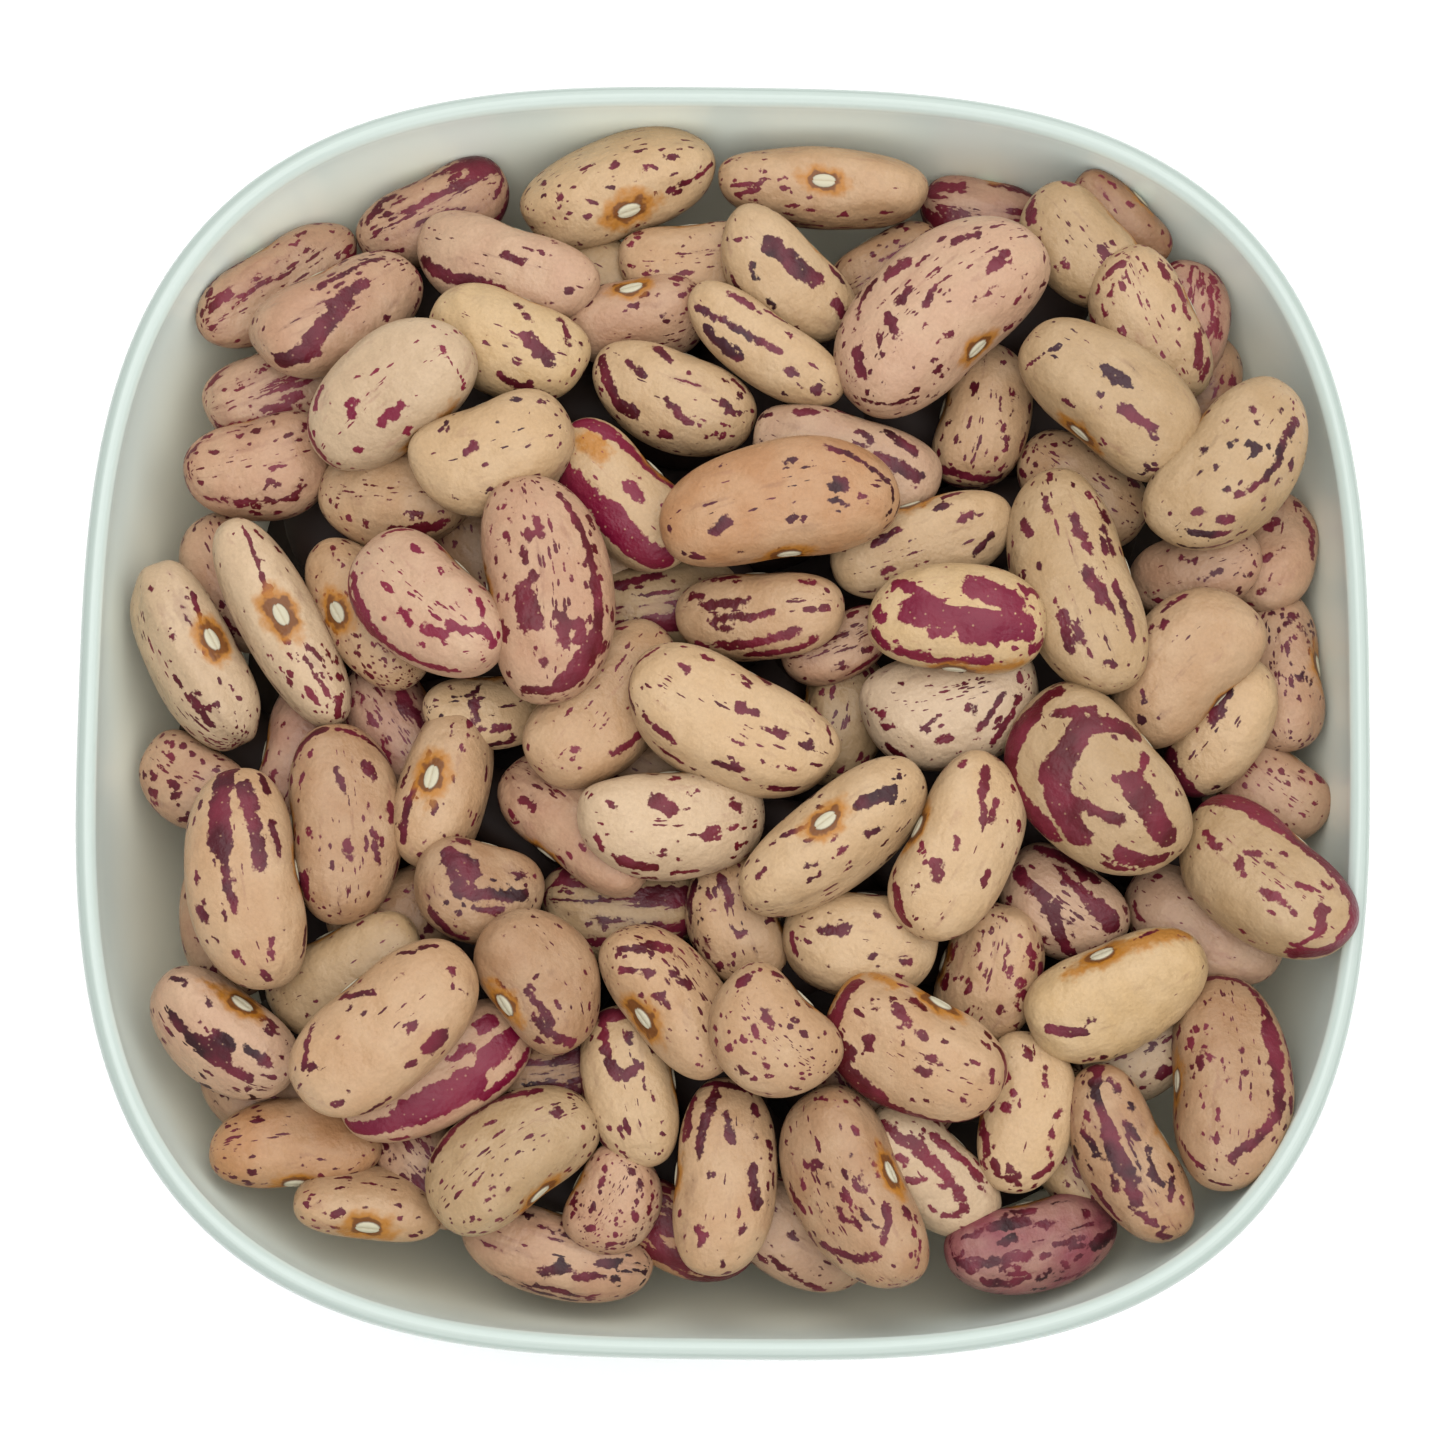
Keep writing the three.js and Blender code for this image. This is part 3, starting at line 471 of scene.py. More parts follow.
        (-.14, -.14, -.24, -.24, .4), (-.16, -.4, -.08, -.4, .5), (-.68, .08, -.52, -.04, .4),
        (-.54, -.16, -.46, -.18, .4), (-.58, -.42, -.48, -.52, .6), (.54, .08, .52, -.02, .4))),
    Bean(10.7, -17.8, 11.8, 8.3, -8, 0, 0, C.CREAM, K.PLUM, 0.02, 0.38, -0.3,
        strokes=((-.32, 0, -.14, .08, .7), (.04, .72, .12, .78, .7), (.1, .32, .12, .32, .4),
        (.14, -.18, .12, -.22, .4), (-.64, -.14, -.56, -.36, .5), (.38, -.24, .42, -.22, .5))),
    Bean(38.8, -0.4, 12, 7.1, 57, 0, 0, C.CREAM, K.DARK, 0.06, 0.4, -0.6,
        strokes=((-.35, .75, -.6, .55, 2.4), (-.6, .5, -.85, -.3, 3.4), (.1, .2, .45, .3, 1.2))),
    Bean(35.7, 4, 13.8, 9.2, 228, 4, 0, C.TAN, K.GREY_PLUM, 0, 0.09,
        strokes=((0, -.48, .02, -.46, .6), (-.08, -.38, -.06, -.36, .5), (-.38, -.5, -.16, -.54, .4),
        (.42, -.08, .44, -.04, .5), (.6, .06, .62, .06, .8), (.22, -.28, .26, -.3, .4)),
        stains=((.35, .9, -.1, .95, .8),)),
    Bean(31.5, -33.8, 15, 6.9, -63, 0, 0, C.DEEP_TAN, K.DARK, 0.26, 0.3, 0, 1.1,
        strokes=((-.78, .02, -.66, .04, 1.4), (-.56, -.02, -.24, -.08, 1), (-.14, -.12, .14, -.14, 1.2),
        (.24, -.2, .28, -.2, .8), (-.48, .16, -.4, .24, .5), (-.68, -.52, -.48, -.68, .6),
        (-.28, -.44, -.06, -.4, .4), (.14, -.36, .16, -.38, .7), (.14, -.8, .46, -.76, .8),
        (.36, -.28, .6, -.12, .4), (.64, -.2, .76, -.16, .7), (-.16, .16, -.06, .2, .4),
        (-.26, .32, -.26, .36, .4), (.04, .28, .18, .16, .4), (.22, .16, .28, .2, .4),
        (.22, .48, .38, .22, .4), (.24, .68, .28, .66, .4), (.12, .8, .12, .8, .4))),
    Bean(39.2, -28.2, 17.4, 9.3, 90, 5, 0, C.DEEP_TAN, K.PLUM, 0.02, 0.36, 0, 0.8,
        strokes=((.72, .26, .66, -.16, .7), (.62, -.22, .32, -.38, .6), (.26, -.36, .06, -.4, 1.2),
        (-.02, -.4, -.22, -.44, .8), (-.28, -.4, -.58, .02, .7), (-.16, -.6, -.24, -.62, .4),
        (-.34, -.74, -.36, -.72, .5), (.08, -.6, -.04, -.64, .4), (.24, -.6, .16, -.64, .4),
        (.1, -.02, .1, -.02, .4), (.04, .32, .04, .3, .4), (.1, .36, .1, .36, .4), (.24, .44, .24, .44, .4),
        (-.08, .12, -.08, .12, .4), (-.04, -.04, -.04, -.04, .4), (-.38, .16, -.38, .12, .4),
        (-.42, .24, -.42, .24, .4), (-.52, .16, -.52, .16, .4), (-.68, -.12, -.72, -.22, .4),
        (-.52, .82, -.7, .38, .5), (-.26, .96, -.34, .96, .4), (-.86, .28, -.9, -.08, .4)),
        stains=((.25, .9, -.1, .95, 1),)),
    Bean(30.5, -21.6, 14.9, 8.5, 25, 38, 0, C.YELLOW, K.PLUM, 0, 0.11, 0, wrinkle=0.12,
        strokes=((-.58, .14, -.34, .04, .8), (-.28, .12, -.26, .14, .4), (.38, .92, .58, .88, .5),
        (-.38, -.36, -.26, -.4, .4)),
        stains=((.3, .85, .85, .55, 2.4), (-.35, .8, .1, .85, 1.4))),
    Bean(15.3, 13.3, 14.8, 7.2, 20, 0, 0, C.CREAM, K.DARK, 0.01, 0.22, 0.5,
        strokes=((-.34, .26, -.16, .38, .4), (-.32, -.12, -.28, -.12, .4), (.14, .5, .26, .5, .4),
        (.28, .24, .36, .24, .5), (.32, -.34, .48, -.16, .4), (.26, .7, .44, .66, .4))),
    Bean(2.5, 7.4, 13.3, 7, 2, 0, 0, C.TAN, K.MAROON, 0.07, 0.3,
        strokes=((-.32, .12, -.04, .12, .7), (-.28, -.12, .18, -.06, .5), (-.2, -.22, -.2, -.24, .8),
        (-.26, -.5, .36, -.36, .7), (-.06, -.74, .56, -.56, .7), (.44, -.08, .68, -.08, .4),
        (-.48, -.5, -.38, -.5, .5), (-.48, .24, -.38, .24, .5), (-.38, .5, -.12, .6, .4))),
)
TOP_BEANS = (
    Bean(-18.2, 19.5, 12.8, 8.8, 17, 0, 0, C.CREAM, K.GREY_PLUM, 0, 0.15,
        strokes=((-.34, .38, -.3, .48, .5), (-.2, .02, -.14, .08, .6))),
    Bean(-26.2, 24.3, 14.8, 9, 218, 0, 0, C.PALE, K.MAGENTA, 0.01, 0.26,
        strokes=((-.52, .04, -.54, .56, .7), (.12, .3, -.04, .3, .7), (.2, -.06, .24, .02, .7),
        (.36, -.48, .44, -.38, .6), (.6, -.56, .84, .32, .6), (.02, .58, .04, .62, .6)),
        stains=((-.35, .75, -.1, .9, 1.6),)),
    Bean(16.4, 31.8, 19.6, 11.2, 222, 20, 0, C.PALE_PINK, K.PLUM, 0.02, 0.48,
        strokes=((0, -.32, .08, -.34, 1.2), (.18, -.44, .26, -.4, .7), (.08, -.04, .16, -.02, .6),
        (0, .12, .08, .18, .5), (.26, 0, .3, .18, .6), (.38, .04, .42, .18, .6), (-.42, .22, -.3, .28, .7),
        (-.4, -.1, -.26, -.14, .5), (.34, -.34, .36, -.26, .5), (.52, -.06, .6, .06, 1),
        (.62, .14, .68, .26, .7), (.8, .22, .56, .74, .4))),
    Bean(4, 15.4, 18.5, 9.5, 192, 4, 0, C.ORANGE_TAN, K.DARK, 0, 0.12, -0.4,
        strokes=((.36, .28, .32, .24, .9), (.7, .06, .7, .04, .5), (.66, .42, .62, .52, .5),
        (.58, .46, .56, .56, .6), (.04, .84, .04, .82, 1), (-.32, .06, -.32, .08, 1.2),
        (-.28, .22, -.32, .28, .4), (-.44, .18, -.46, .22, .5), (-.1, -.26, -.1, -.26, .6),
        (-.32, -.38, -.74, .04, .4), (-.74, .08, -.7, .38, .4), (-.9, .22, -.76, .58, .4)),
        stains=((.3, .95, -.1, .97, .6),)),
    Bean(-13.9, 8.6, 17.8, 9.7, 98, 0, 0, C.PINK_TAN, K.MAROON, 0.02, 0.45, 0.2,
        strokes=((.48, -.36, .02, -.5, .6), (-.04, -.5, -.32, -.5, .9), (-.42, -.44, -.66, -.16, 2),
        (-.72, 0, -.7, .3, 1), (-.24, -.1, -.36, -.12, .9), (-.28, -.26, -.36, -.28, .8),
        (-.08, .26, -.22, .24, 1.4), (-.22, .16, -.24, .14, 1), (0, .16, .02, .14, .7),
        (.24, .14, .28, .12, .5), (.36, .02, .24, 0, .5), (-.48, .08, -.48, .08, .7))),
    Bean(29.8, 25, 16.1, 9.1, 142, 8, 0, C.SAND, K.GREY_PLUM, 0.01, 0.26, -0.3,
        strokes=((.44, .06, .6, .46, .8), (.08, 0, -.04, -.02, 1), (.02, .24, 0, .36, .5),
        (-.14, .22, -.36, .16, .7), (-.4, .16, -.48, .34, .4), (-.52, .48, -.6, .58, .5),
        (-.68, .38, -.6, .52, .4)),
        stains=((.2, .95, -.25, .98, .6),)),
    Bean(39.1, 19.6, 15.8, 9.2, 52, 0, 0, C.SAND, K.DARK, 0.01, 0.21, -0.5, 0.8,
        strokes=((.48, -.32, .36, -.32, .7), (.3, -.32, .16, -.4, .5), (.1, -.4, .02, -.4, .5),
        (-.02, -.38, -.16, -.26, .5), (.32, .16, .32, .16, .4), (.46, -.12, .46, -.12, .4),
        (.26, .04, .26, .04, .4), (.12, .36, .12, .36, .4), (-.08, .34, -.08, .32, .4),
        (.06, .14, .08, .12, .4), (.12, 0, .14, -.08, .4), (.16, -.14, .18, -.2, .4),
        (.12, -.12, .1, -.12, .4), (-.12, .1, -.12, .1, .4), (-.2, -.12, -.2, -.14, .4),
        (-.44, -.06, -.4, -.1, .4), (-.56, .12, -.56, .12, .4), (-.36, -.32, -.34, -.38, .8),
        (-.58, -.2, -.52, -.34, .6), (-.48, -.4, -.44, -.48, .7), (-.84, -.22, -.56, -.78, .5),
        (.06, -.56, .08, -.58, .4), (.22, -.6, .26, -.56, .4), (-.08, -.56, -.08, -.56, .4))),
    Bean(27.2, 10.1, 18.7, 9.1, -73, 0, 0, C.SAND, K.PLUM, 0.02, 0.33, 0.2,
        strokes=((-.76, 0, -.64, 0, .5), (-.46, -.12, -.36, -.1, .4), (-.38, -.44, -.28, -.36, .6),
        (-.28, .14, -.1, .2, .6), (-.46, .46, -.32, .54, .4), (-.2, .48, -.06, .5, .5),
        (.06, .12, .22, .2, 1), (.22, -.26, .4, -.34, .7), (.32, -.18, .4, -.2, .5),
        (.16, .36, .44, .36, .5), (.58, -.06, .6, 0, .5))),
    Bean(-22.8, 7.1, 14.3, 8.7, -40, 0, 0, C.PALE_PINK, K.MAGENTA, 0.07, 0.36,
        strokes=((-.8, -.28, -.06, -.74, 1.2), (.04, -.78, .66, -.6, .7), (-.52, -.32, -.22, -.58, .7),
        (-.6, .28, -.5, .56, .5), (-.22, .74, -.18, .72, .6), (-.26, .36, -.22, .38, .5),
        (.02, -.26, .1, -.3, .5), (.24, -.28, .36, -.22, .7), (.34, -.06, .44, -.04, .8),
        (.36, .38, .48, .26, .4), (.54, .1, .76, .02, .7))),
    Bean(-36.5, -13.8, 17.5, 9, -80, 0, 0, C.TAN, K.PLUM, 0.01, 0.18,
        strokes=((-.82, -.06, -.58, -.14, 1.8), (-.44, -.16, -.16, -.16, 1.5), (-.08, -.14, .18, -.12, .6),
        (-.54, .12, -.4, .18, 1.4), (-.3, .2, -.04, .24, 1), (-.72, .36, -.52, .4, .6),
        (-.28, .42, -.14, .48, .5), (.18, -.56, .2, -.5, .9), (.68, 0, .78, .04, .7),
        (.42, .2, .54, .16, .4), (.46, .74, .64, .62, .4), (.46, -.24, .56, -.2, .4))),
    Bean(-25.4, -25.5, 16.4, 9.3, 41, 0, 0, C.TAN, K.PLUM, 0.01, 0.18, 0.6,
        strokes=((-.08, .62, .06, .38, .7), (-.36, .54, -.54, .22, .4), (-.54, .16, -.52, .1, .8),
        (.16, -.5, .2, -.5, 1.4), (.1, -.22, .12, -.2, .5), (.4, .58, .44, .42, .5),
        (.52, .44, .6, .32, .5), (.54, -.04, .54, -.06, .5), (.46, -.18, .5, -.32, .5),
        (-.06, -.5, 0, -.54, .4), (-.78, .08, -.72, .06, .5), (-.58, -.36, -.52, -.38, .5),
        (-.58, -.7, -.32, -.74, .4))),
    Bean(4, -25.5, 10.7, 8.7, -42, 0, 0, C.TAN, K.PLUM, 0.01, 0.45, 0, 0.7,
        strokes=((-.2, .1, -.08, .02, .6), (-.2, -.1, -.12, -.14, .4), (.08, -.3, .12, -.34, .5),
        (-.02, -.56, .02, -.58, .4), (-.6, .04, -.56, .2, .7), (-.42, .52, -.38, .58, .6))),
    Bean(14.9, -26.4, 14.6, 9, -28, 20, 0, C.TAN, K.MAROON, 0.03, 0.24, 0.2, 0.9,
        strokes=((-.72, .4, -.62, -.1, 1.3), (-.66, -.2, -.4, -.3, 1.4), (-.66, -.35, -.15, -.72, 3.2),
        (-.15, -.76, .5, -.72, 2.4), (.5, -.7, .86, -.25, 1.3), (.75, .7, .95, .1, .9),
        (-.22, .42, -.15, .38, .8), (-.13, .25, -.1, .17, .4), (-.03, .33, .02, .3, .5),
        (-.2, .7, -.1, .68, .7), (.12, .15, .18, .12, .4), (.1, 0, .15, -.02, .5), (.6, .25, .62, .15, .6),
        (.45, -.15, .5, -.2, .4), (-.3, 0, -.28, -.08, .6), (-.4, .35, -.38, .25, .5)),
        stains=((-.92, .4, -.86, -.4, 3.6), (-.7, .7, -.45, .75, 1.6))),
    Bean(8.5, -10.5, 17, 8.7, 37, 72, 0, C.CREAM, K.DARK, 0.02, 0.38, 0.6,
        strokes=((-.4, 1.18, -.14, 1.06, .6), (.3, .82, .5, .64, 1.2), (.16, .48, .24, .42, .5),
        (-.26, .58, -.24, .56, .5), (-.5, 1.14, -.48, 1.14, .5), (-.74, .62, -.66, .72, .5))),
    Bean(18.1, -10.9, 15.2, 8.4, 67, 20, 0, C.CREAM, K.MAROON, 0.03, 0.24, 0.3,
        strokes=((.56, .18, .38, .16, .7), (.32, .14, .12, .02, .5), (.34, -.02, .22, -.04, .4),
        (0, .28, -.04, .22, .4), (-.12, .68, -.2, .48, .4), (-.22, .36, -.24, .28, 1),
        (-.58, .68, -.82, .26, 1.2), (.84, .08, .8, -.08, .4), (.52, .48, .58, .46, .5))),
    Bean(28.9, -5.8, 16.3, 11, -48, 8, 0, C.SAND, K.MAROON, 0.02, 0.18,
        strokes=((-.7, .25, -.65, -.1, 1.6), (-.65, -.15, -.45, -.6, 2.6), (-.45, -.6, 0, -.65, 2.2),
        (-.1, .62, -.3, .25, 1.5), (-.3, .2, -.2, -.15, 1.6), (-.2, -.2, .15, -.42, 2),
        (0, -.2, .08, -.15, .8), (-.35, .4, -.5, .1, .8), (.1, .5, .15, .25, 1.1),
        (.15, .25, .45, .15, 1.7), (.45, .15, .6, .1, 1.8), (.45, -.3, .75, -.1, 1.4),
        (.12, -.15, .25, -.05, .8), (.45, -.5, .6, -.4, .7)),
        stains=((-.05, .9, .3, .9, 1.2),)),
    Bean(17.9, 6.6, 13.7, 8.7, 176, 0, 0, C.YELLOW, K.MAGENTA, 0.03, 0.36, -0.2, 0.7,
        strokes=((.3, .05, -.5, .1, 2.2), (-.1, -.25, -.35, -.15, 1.8), (-.3, .2, -.1, .3, 1.6),
        (.5, -.35, .2, -.02, 1.3), (.68, -.02, .58, .1, .8), (.18, .3, .08, .3, .7), (.7, .3, .58, .48, 1),
        (.45, .55, .25, .65, 1), (.15, .75, -.25, .6, .8), (-.65, .35, -.85, .2, 1),
        (-.5, -.35, -.65, -.45, 1)),
        stains=((-.3, .8, -.6, .6, 1.8),)),
    Bean(0.5, -1.5, 17.2, 9.5, -24, 0, 0, C.CREAM, K.PLUM, 0.01, 0.21, 0.2,
        strokes=((-.02, .8, .08, .6, 1), (0, .12, .06, .14, .7), (.2, .04, .28, .06, .7),
        (.42, .02, .46, .06, .7), (.56, .38, .62, .22, .5), (-.7, .34, -.9, -.08, .4),
        (-.88, -.12, -.66, -.48, .5), (-.4, .24, -.36, .22, .5), (-.48, -.46, -.28, -.5, .5),
        (-.48, -.76, -.22, -.8, .4), (.02, -.5, .14, -.46, .5), (.44, -.58, .62, -.52, .8))),
    Bean(42, -12.8, 16, 9.1, -42, 0, 0, C.SAND, K.ROSE, 0.01, 0.21, 0.5, 0.8,
        strokes=((-.88, -.3, -.76, .35, 2.8), (-.72, .42, -.25, .74, 4.2), (-.25, .76, .75, .55, 3.6),
        (.74, .5, .9, -.05, 3.2), (.9, -.1, .66, -.6, 2.4), (-.42, -.1, -.3, -.12, .5),
        (-.12, -.08, -.05, -.17, .5), (-.12, .05, -.08, .12, .5), (.02, .1, .06, .14, .4),
        (.11, -.15, .24, -.11, .5), (.31, -.14, .32, -.14, .4), (.25, .13, .31, .17, .4),
        (.35, .3, .4, .33, .4), (.44, .1, .5, .1, .4), (.47, .02, .55, -.14, .8), (.55, -.2, .52, -.48, .7))),
)


def turned(turn: float, roll: float, lean: float) -> np.ndarray:
    """Rotation that rolls about X, then raises the +X end, then turns about Z, from degrees."""
    return np.array(
        Matrix.Rotation(math.radians(turn), 3, "Z")
        @ Matrix.Rotation(math.radians(-lean), 3, "Y")
        @ Matrix.Rotation(math.radians(roll), 3, "X")
    )


@dataclass(frozen=True)
class Hollow:
    """The bowl's plan and its inner wall, which the beans lie in.

    Attributes:
        rim_width: Outer width across the flats.
        rim_height: Height of the lip's top.
        squareness: Power of the rounded-square plan.
        lip_thickness: Thickness at the lip.
        depth: From the lip's centre line to the floor.
        full_out: Power of the wall section outwards.
        full_down: Power of the wall section downwards.
    """

    rim_width: float
    rim_height: float
    squareness: float = 3.07
    lip_thickness: float = 1.6
    depth: float = 34.2
    full_out: float = 3.0
    full_down: float = 1.75

    def plan_radius(self, x: np.ndarray, y: np.ndarray) -> np.ndarray:
        """Half-width of the rounded square |x|^n + |y|^n = r^n that passes through each point."""
        n = self.squareness
        return (np.abs(x) ** n + np.abs(y) ** n) ** (1 / n)

    def wall_height(self, x: np.ndarray, y: np.ndarray) -> np.ndarray:
        """Height of the inner wall from the rim: out to a power plus depth to a power is 1."""
        inner = self.rim_width / 2 - self.lip_thickness
        out = np.minimum(1, self.plan_radius(x, y) / inner) ** self.full_out
        return -self.lip_thickness / 2 - self.depth * (1 - out) ** (1 / self.full_down)

    def section(self, radius: float, depth: float, foot: float, rows: int) -> np.ndarray:
        """Wall section from the lip down to a radius.

        The sine of an angle gives the way out and its cosine the depth, each to the power that makes the
        superellipse out^full_out + depth^full_down = 1.

        Args:
            radius: Plan radius at the lip.
            depth: Depth where the section would reach the axis.
            foot: Plan radius where it stops.
            rows: Steps along the section.

        Returns:
            Rows of plan radius and height.
        """
        last = math.asin((foot / radius) ** (self.full_out / 2))
        angle = np.linspace(math.pi / 2, last, rows + 1)
        out = radius * np.sin(angle) ** (2 / self.full_out)
        down = depth * np.maximum(0, np.cos(angle)) ** (2 / self.full_down)
        return np.stack([out, self.rim_height - self.lip_thickness / 2 - down], 1)

    def lathe(self, profile: np.ndarray, columns: int) -> tuple[np.ndarray, list[np.ndarray]]:
        """Turns a profile about Z and pushes each circle out to the rounded square.

        Args:
            profile: Rows of plan radius and height, which start and end on the axis.
            columns: Steps round the axis.

        Returns:
            Points, and the faces between the rings and of the fans that close both ends.
        """
        angle = np.linspace(0, 2 * math.pi, columns, endpoint=False)
        cos, sin = np.cos(angle), np.sin(angle)
        scale = 1 / self.plan_radius(cos, sin)
        ring = profile[1:-1]
        radius, height = ring[:, :1], np.broadcast_to(ring[:, 1:], (len(ring), columns))
        points = np.stack([radius * cos * scale, radius * sin * scale, height], -1).reshape(-1, 3)
        points = np.concatenate([points, [[0, 0, profile[0, 1]], [0, 0, profile[-1, 1]]]])
        column = np.arange(columns)
        ahead = (column + 1) % columns
        last = (len(ring) - 1) * columns
        start_fan = np.stack([np.full_like(column, len(points) - 2), ahead, column], 1)
        end_fan = np.stack([np.full_like(column, len(points) - 1), last + column, last + ahead], 1)
        return points, [ring_quads(len(ring), columns), start_fan, end_fan]


@dataclass(frozen=True)
class Heap:
    """The rule that every bean's height and tilt follow.

    A bean sinks until it meets the wall or what lies under it, within its layer's range of heights, and
    takes the small lean and roll that let it lie lowest. Heights are from the rim.

    Attributes:
        hollow: The bowl's hollow.
        core_top: Top of the core that the beans lie on.
        core_fall: How far the core falls to the heap's edge, by a power of the way out, core_flatness.
        top: Highest that a bean of the top layer may lie.
        fall: How far that falls to the heap's edge, by a power of the way out, flatness.
        reach: Plan radius of the heap's edge.
        rise: Height from one layer to the next.
        play: How far below its highest a bean may sink.
        layers: Number of layers that show.
        thickness: A bean's thickness, as a share of its width.
        squeeze: Share of a bean's size that can't overlap another.
        tilts: Leans and rolls that are tried, in degrees.
        tilt_cost: Height that a degree of tilt is worth.
        wall_cost: How much a push up by the wall is worth.
        cost_margin: Gain below which a later tilt doesn't win.
        step: Size of the height grid's cells.
        cells: Cells along each side of the grid.
    """

    hollow: Hollow
    core_top: float = -8
    core_fall: float = 4
    core_flatness: float = 4
    top: float = 4
    fall: float = 5.5
    flatness: float = 3
    reach: float = 46
    rise: float = 3.1
    play: float = 2.2
    layers: int = 4
    thickness: float = 0.8
    squeeze: float = 0.94
    tilts: tuple[float, ...] = (-16, -8, 0, 8, 16)
    tilt_cost: float = 0.03
    wall_cost: float = 2
    cost_margin: float = 1e-9
    step: float = 0.5
    cells: int = 211

    def settle(self, layers: list[tuple[int, tuple[Bean, ...]]]) -> list[list[Place]]:
        """Lays the beans down in order.

        Over each cell of a height grid, the underside and top of a turned ellipsoid come from its
        quadratic form A: with b = Axz dx + Ayz dy and c = Axx dx^2 + 2 Axy dx dy + Ayy dy^2 - 1, they lie
        at (-b -/+ sqrt(b^2 - Azz c)) / Azz from its middle.

        Args:
            layers: Pairs of layer number and the beans in it, lowest first.

        Returns:
            For each layer, each bean's rotation and the place of its middle.
        """
        line = (np.arange(self.cells) - (self.cells - 1) / 2) * self.step
        gx, gy = np.meshgrid(line, line, indexing="ij")
        wall = self.hollow.wall_height(gx, gy)
        radius = self.hollow.plan_radius(gx, gy)
        core = self.core_top - self.core_fall * (radius / self.reach) ** self.core_flatness
        surface = np.maximum(wall, core)
        return [[self._lay(bean, layer, line, wall, surface) for bean in beans] for layer, beans in layers]

    def _lay(
        self, bean: Bean, layer: int, line: np.ndarray, wall: np.ndarray, surface: np.ndarray
    ) -> Place:
        """Lays one bean and raises the surface under it.

        Args:
            bean: The bean.
            layer: Its layer's number.
            line: The grid's cell centres along either axis.
            wall: Heights of the inner wall.
            surface: Heights of what has settled so far, which this changes.

        Returns:
            The bean's rotation and the place of its middle.
        """
        half = np.array([bean.length, bean.width, bean.width * self.thickness]) / 2 * self.squeeze
        rows = slice(*np.searchsorted(line, [bean.x - half[0], bean.x + half[0]]))
        cols = slice(*np.searchsorted(line, [bean.y - half[0], bean.y + half[0]]))
        dx, dy = np.meshgrid(line[rows] - bean.x, line[cols] - bean.y, indexing="ij")
        out = (self.hollow.plan_radius(bean.x, bean.y) / self.reach) ** self.flatness
        highest = self.top - self.fall * out + (layer - self.layers + 1) * self.rise
        lowest = highest - self.play
        best = None
        for lean in self.tilts:
            for roll in self.tilts:
                spin = turned(bean.turn, bean.roll + roll, bean.lean + lean)
                form = spin @ np.diag(1 / half ** 2) @ spin.T
                b = form[0, 2] * dx + form[1, 2] * dy
                c = form[0, 0] * dx * dx + 2 * form[0, 1] * dx * dy + form[1, 1] * dy * dy - 1
                inside = b * b - form[2, 2] * c
                over = inside > 0
                root = np.sqrt(inside[over])
                under = (-b[over] - root) / form[2, 2]
                on_beans = np.max(surface[rows, cols][over] - under)
                on_wall = np.max(wall[rows, cols][over] - under)
                pushed = max(0, on_wall - highest)
                cost = max(on_beans, lowest) + self.tilt_cost * (abs(lean) + abs(roll))
                cost += self.wall_cost * pushed
                if best is None or cost < best[0] - self.cost_margin:
                    z = max(on_wall, min(max(on_beans, lowest), highest))
                    best = (cost, z, spin, over, (-b[over] + root) / form[2, 2])
        _, z, spin, over, above = best
        patch = surface[rows, cols]
        patch[over] = np.maximum(patch[over], z + above)
        return spin, np.array([bean.x, bean.y, self.hollow.rim_height + z])


